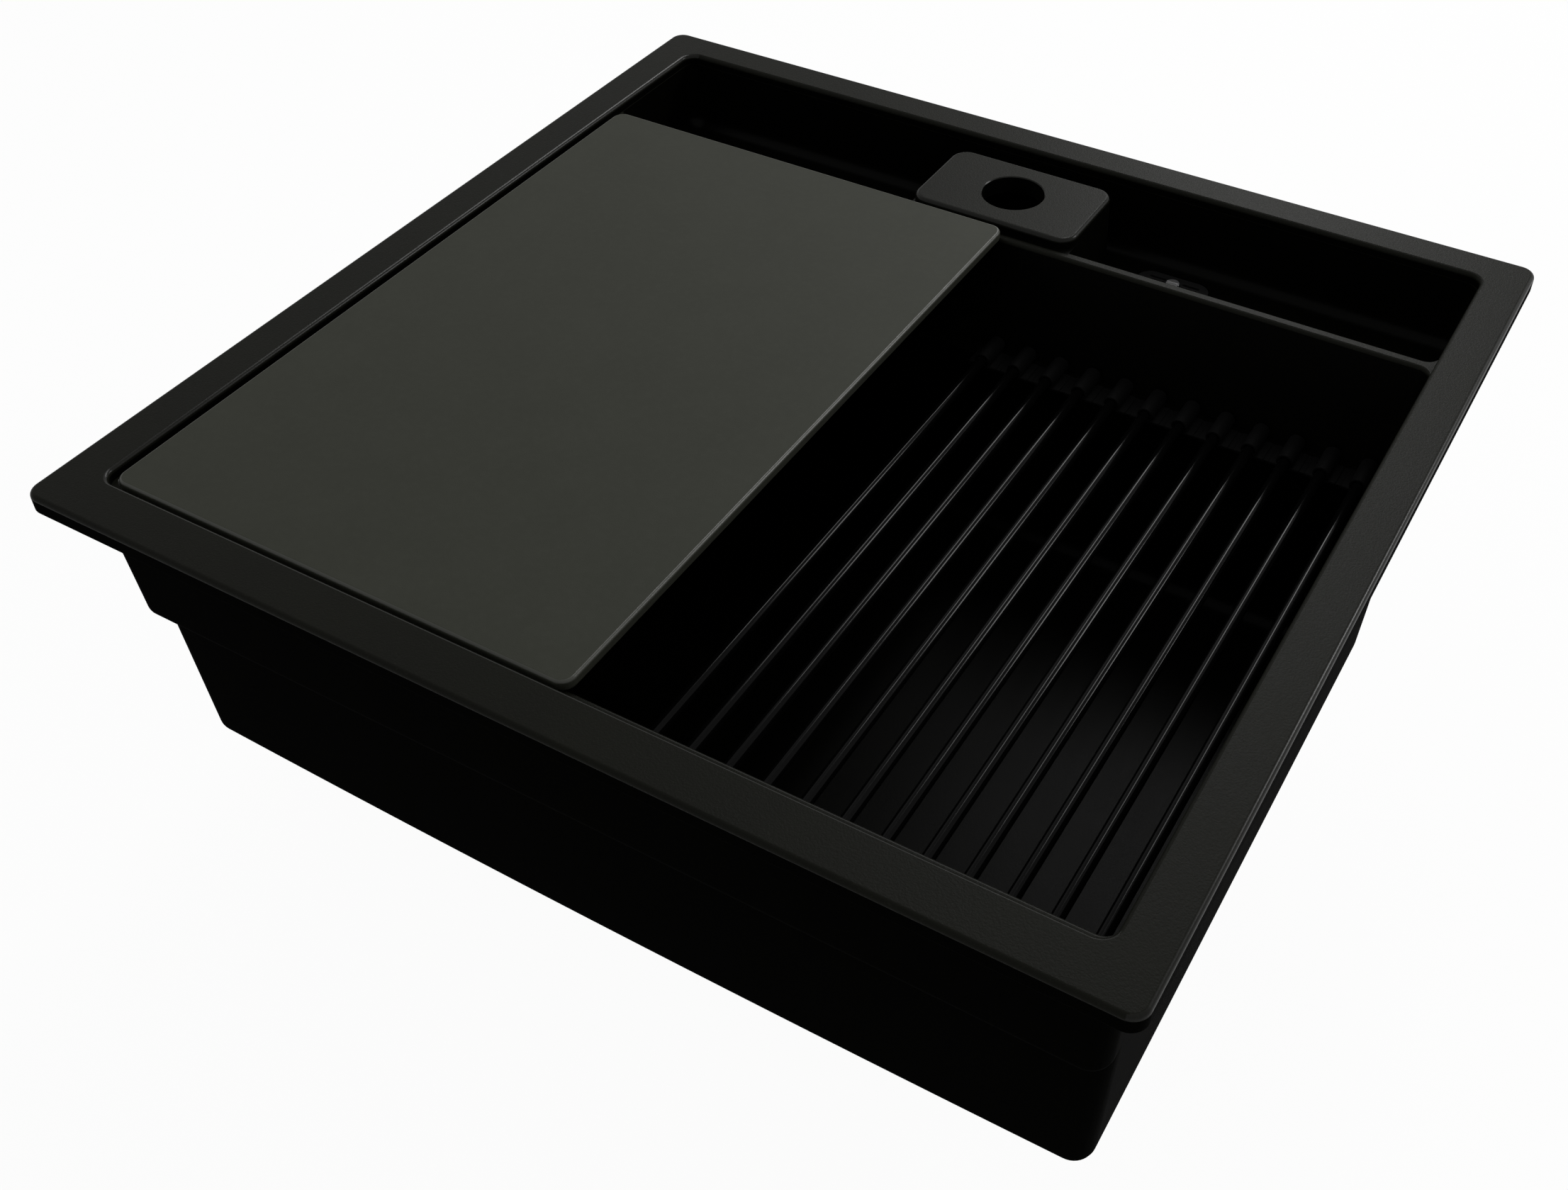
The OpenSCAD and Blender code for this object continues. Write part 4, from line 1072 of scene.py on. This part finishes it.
def refined(node, ease):
    """A copy of the solid with its edges eased by that many mm, and its count of open edges"""
    made = mesh_object(node + "_eased", [], [])
    mesh = bmesh.new()
    mesh.from_mesh(frame["nodes"][node].data)
    merged(mesh)
    bmesh.ops.dissolve_limit(mesh, angle_limit=FACET, verts=mesh.verts, edges=mesh.edges)
    sharp = [e for e in mesh.edges if len(e.link_faces) == 2 and e.calc_face_angle(0) > SHARP]
    bevel = {"segments": 2, "profile": 0.5, "affect": "EDGES", "clamp_overlap": True}
    bmesh.ops.bevel(mesh, geom=sharp, offset=ease * MM, **bevel)
    mesh.to_mesh(made.data)
    mesh.free()
    open_count = tidy_mesh(made, 42)
    weighted(made)
    return made, open_count


slot_of = {part["node"]: part["material_slot"] for part in frame["record"]["subparts"]}
bodies = frame["record"]["behaviour"]["bodies"]
body_of = {node: body_name for body_name, nodes in bodies.items() for node in nodes}
eases = {
    "rim_seal": 0.2,
    "flange_gasket": 0.2,
    "strainer_cup": 0.25,
    "waste_screw": 0.2,
    "lower_gasket": 0.3,
    "waste_body": 0.4,
    "basket": 0.15,
    "basket_seal": 0.5,
    "basket_knob": 0.5,
    "overflow_cover": 0.15,
    "overflow_screw": 0.15,
    "overflow_seal": 0.2,
    "overflow_elbow": 0.3,
    "hose_nut_upper": 0.3,
    "hose_nut_lower": 0.3,
}
for node, ease in eases.items():
    made, open_count = refined(node, ease)
    made.data.materials.append(finishes[slot_of[node]])
    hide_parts(node)
    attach(made, body_of[node])
    print(node, len(made.data.polygons), "faces,", open_count, "open edges")

# %% [markdown]
# ## Every solid has its finish
# The solids that are hidden by a piece get their finish too, so nothing is left plain.

# %% Finish the solids
for name, solid in frame["nodes"].items():
    solid.data.materials.clear()
    solid.data.materials.append(finishes[slot_of[name]])
print("finished", len(slot_of), "solids")

# %% [markdown]
# ## Floor and light
# The sink stands on a plain pale floor, in an even glow from all round. Two soft lamps light it,
# an upright strip behind to the left and a square one behind to the right, as the shine along
# its edges shows. To the camera, and in reflections, the floor is white and what lies beyond it
# a pale grey, as in a studio. More light on the sink would whiten the floor too, but would wash
# out the black.

# %% Floor, lamps and world
FLOOR_WHITE, GLOW = 0.96, 0.35
FLOOR_Z, FLOOR_REACH = -0.2612, 8


def white_to_the_eye(tree, share):
    """Mixes plain white light in for rays that come straight from the eye, a gloss or a glass"""
    path = tree.nodes.new("ShaderNodeLightPath")
    seen = tree.nodes.new("ShaderNodeMath")
    seen.operation = "MAXIMUM"
    tree.links.new(path.outputs["Is Camera Ray"], seen.inputs[0])
    tree.links.new(path.outputs["Is Glossy Ray"], seen.inputs[1])
    also = tree.nodes.new("ShaderNodeMath")
    also.operation = "MAXIMUM"
    tree.links.new(seen.outputs[0], also.inputs[0])
    tree.links.new(path.outputs["Is Transmission Ray"], also.inputs[1])
    part = tree.nodes.new("ShaderNodeMath")
    part.operation = "MULTIPLY"
    part.inputs[1].default_value = share
    tree.links.new(also.outputs[0], part.inputs[0])
    return part.outputs[0]


floor_finish = bpy.data.materials.new("pale_floor")
floor_finish.use_nodes = True
tree = floor_finish.node_tree
matt = tree.nodes["Principled BSDF"]
matt.inputs["Base Color"].default_value = (0.8, 0.8, 0.8, 1)
matt.inputs["Roughness"].default_value = 0.9
matt.inputs["Specular IOR Level"].default_value = 0.0
glow = tree.nodes.new("ShaderNodeEmission")
blend = tree.nodes.new("ShaderNodeMixShader")
tree.links.new(white_to_the_eye(tree, FLOOR_WHITE), blend.inputs[0])
tree.links.new(matt.outputs[0], blend.inputs[1])
tree.links.new(glow.outputs[0], blend.inputs[2])
tree.links.new(blend.outputs[0], tree.nodes["Material Output"].inputs["Surface"])

corners = ((-1, -1), (1, -1), (1, 1), (-1, 1))
floor_corners = [Vector((x * FLOOR_REACH, y * FLOOR_REACH, FLOOR_Z)) for x, y in corners]
floor = mesh_object("floor", floor_corners, [[0, 1, 2, 3]], floor_finish)

world = bpy.data.worlds.new("studio")
bpy.context.scene.world = world
world.use_nodes = True
tree = world.node_tree
plain = tree.nodes["Background"]
plain.inputs["Color"].default_value = (1, 1, 1, 1)
plain.inputs["Strength"].default_value = GLOW
white = tree.nodes.new("ShaderNodeBackground")
white.inputs["Strength"].default_value = 1.0
blend = tree.nodes.new("ShaderNodeMixShader")
tree.links.new(white_to_the_eye(tree, 1.0), blend.inputs[0])
tree.links.new(plain.outputs[0], blend.inputs[1])
tree.links.new(white.outputs[0], blend.inputs[2])
tree.links.new(blend.outputs[0], tree.nodes["World Output"].inputs["Surface"])


LIT_AT = Vector((0.1, 0, 0))


def lamp(name, place, width, height, watts):
    light = bpy.data.lights.new(name, "AREA")
    light.shape = "RECTANGLE"
    light.size, light.size_y = width, height
    light.energy = watts
    made = bpy.data.objects.new(name, light)
    made.location = place
    made.rotation_euler = (LIT_AT - Vector(place)).to_track_quat("-Z", "Y").to_euler()
    bpy.context.scene.collection.objects.link(made)


lamp("soft_behind", (-0.22, 1.55, 1.45), width=0.34, height=1.5, watts=20)
lamp("soft_right", (1.35, 1.45, 1.05), width=0.45, height=0.45, watts=11)
bpy.context.scene.view_settings.view_transform = "Standard"
print("the light is set")
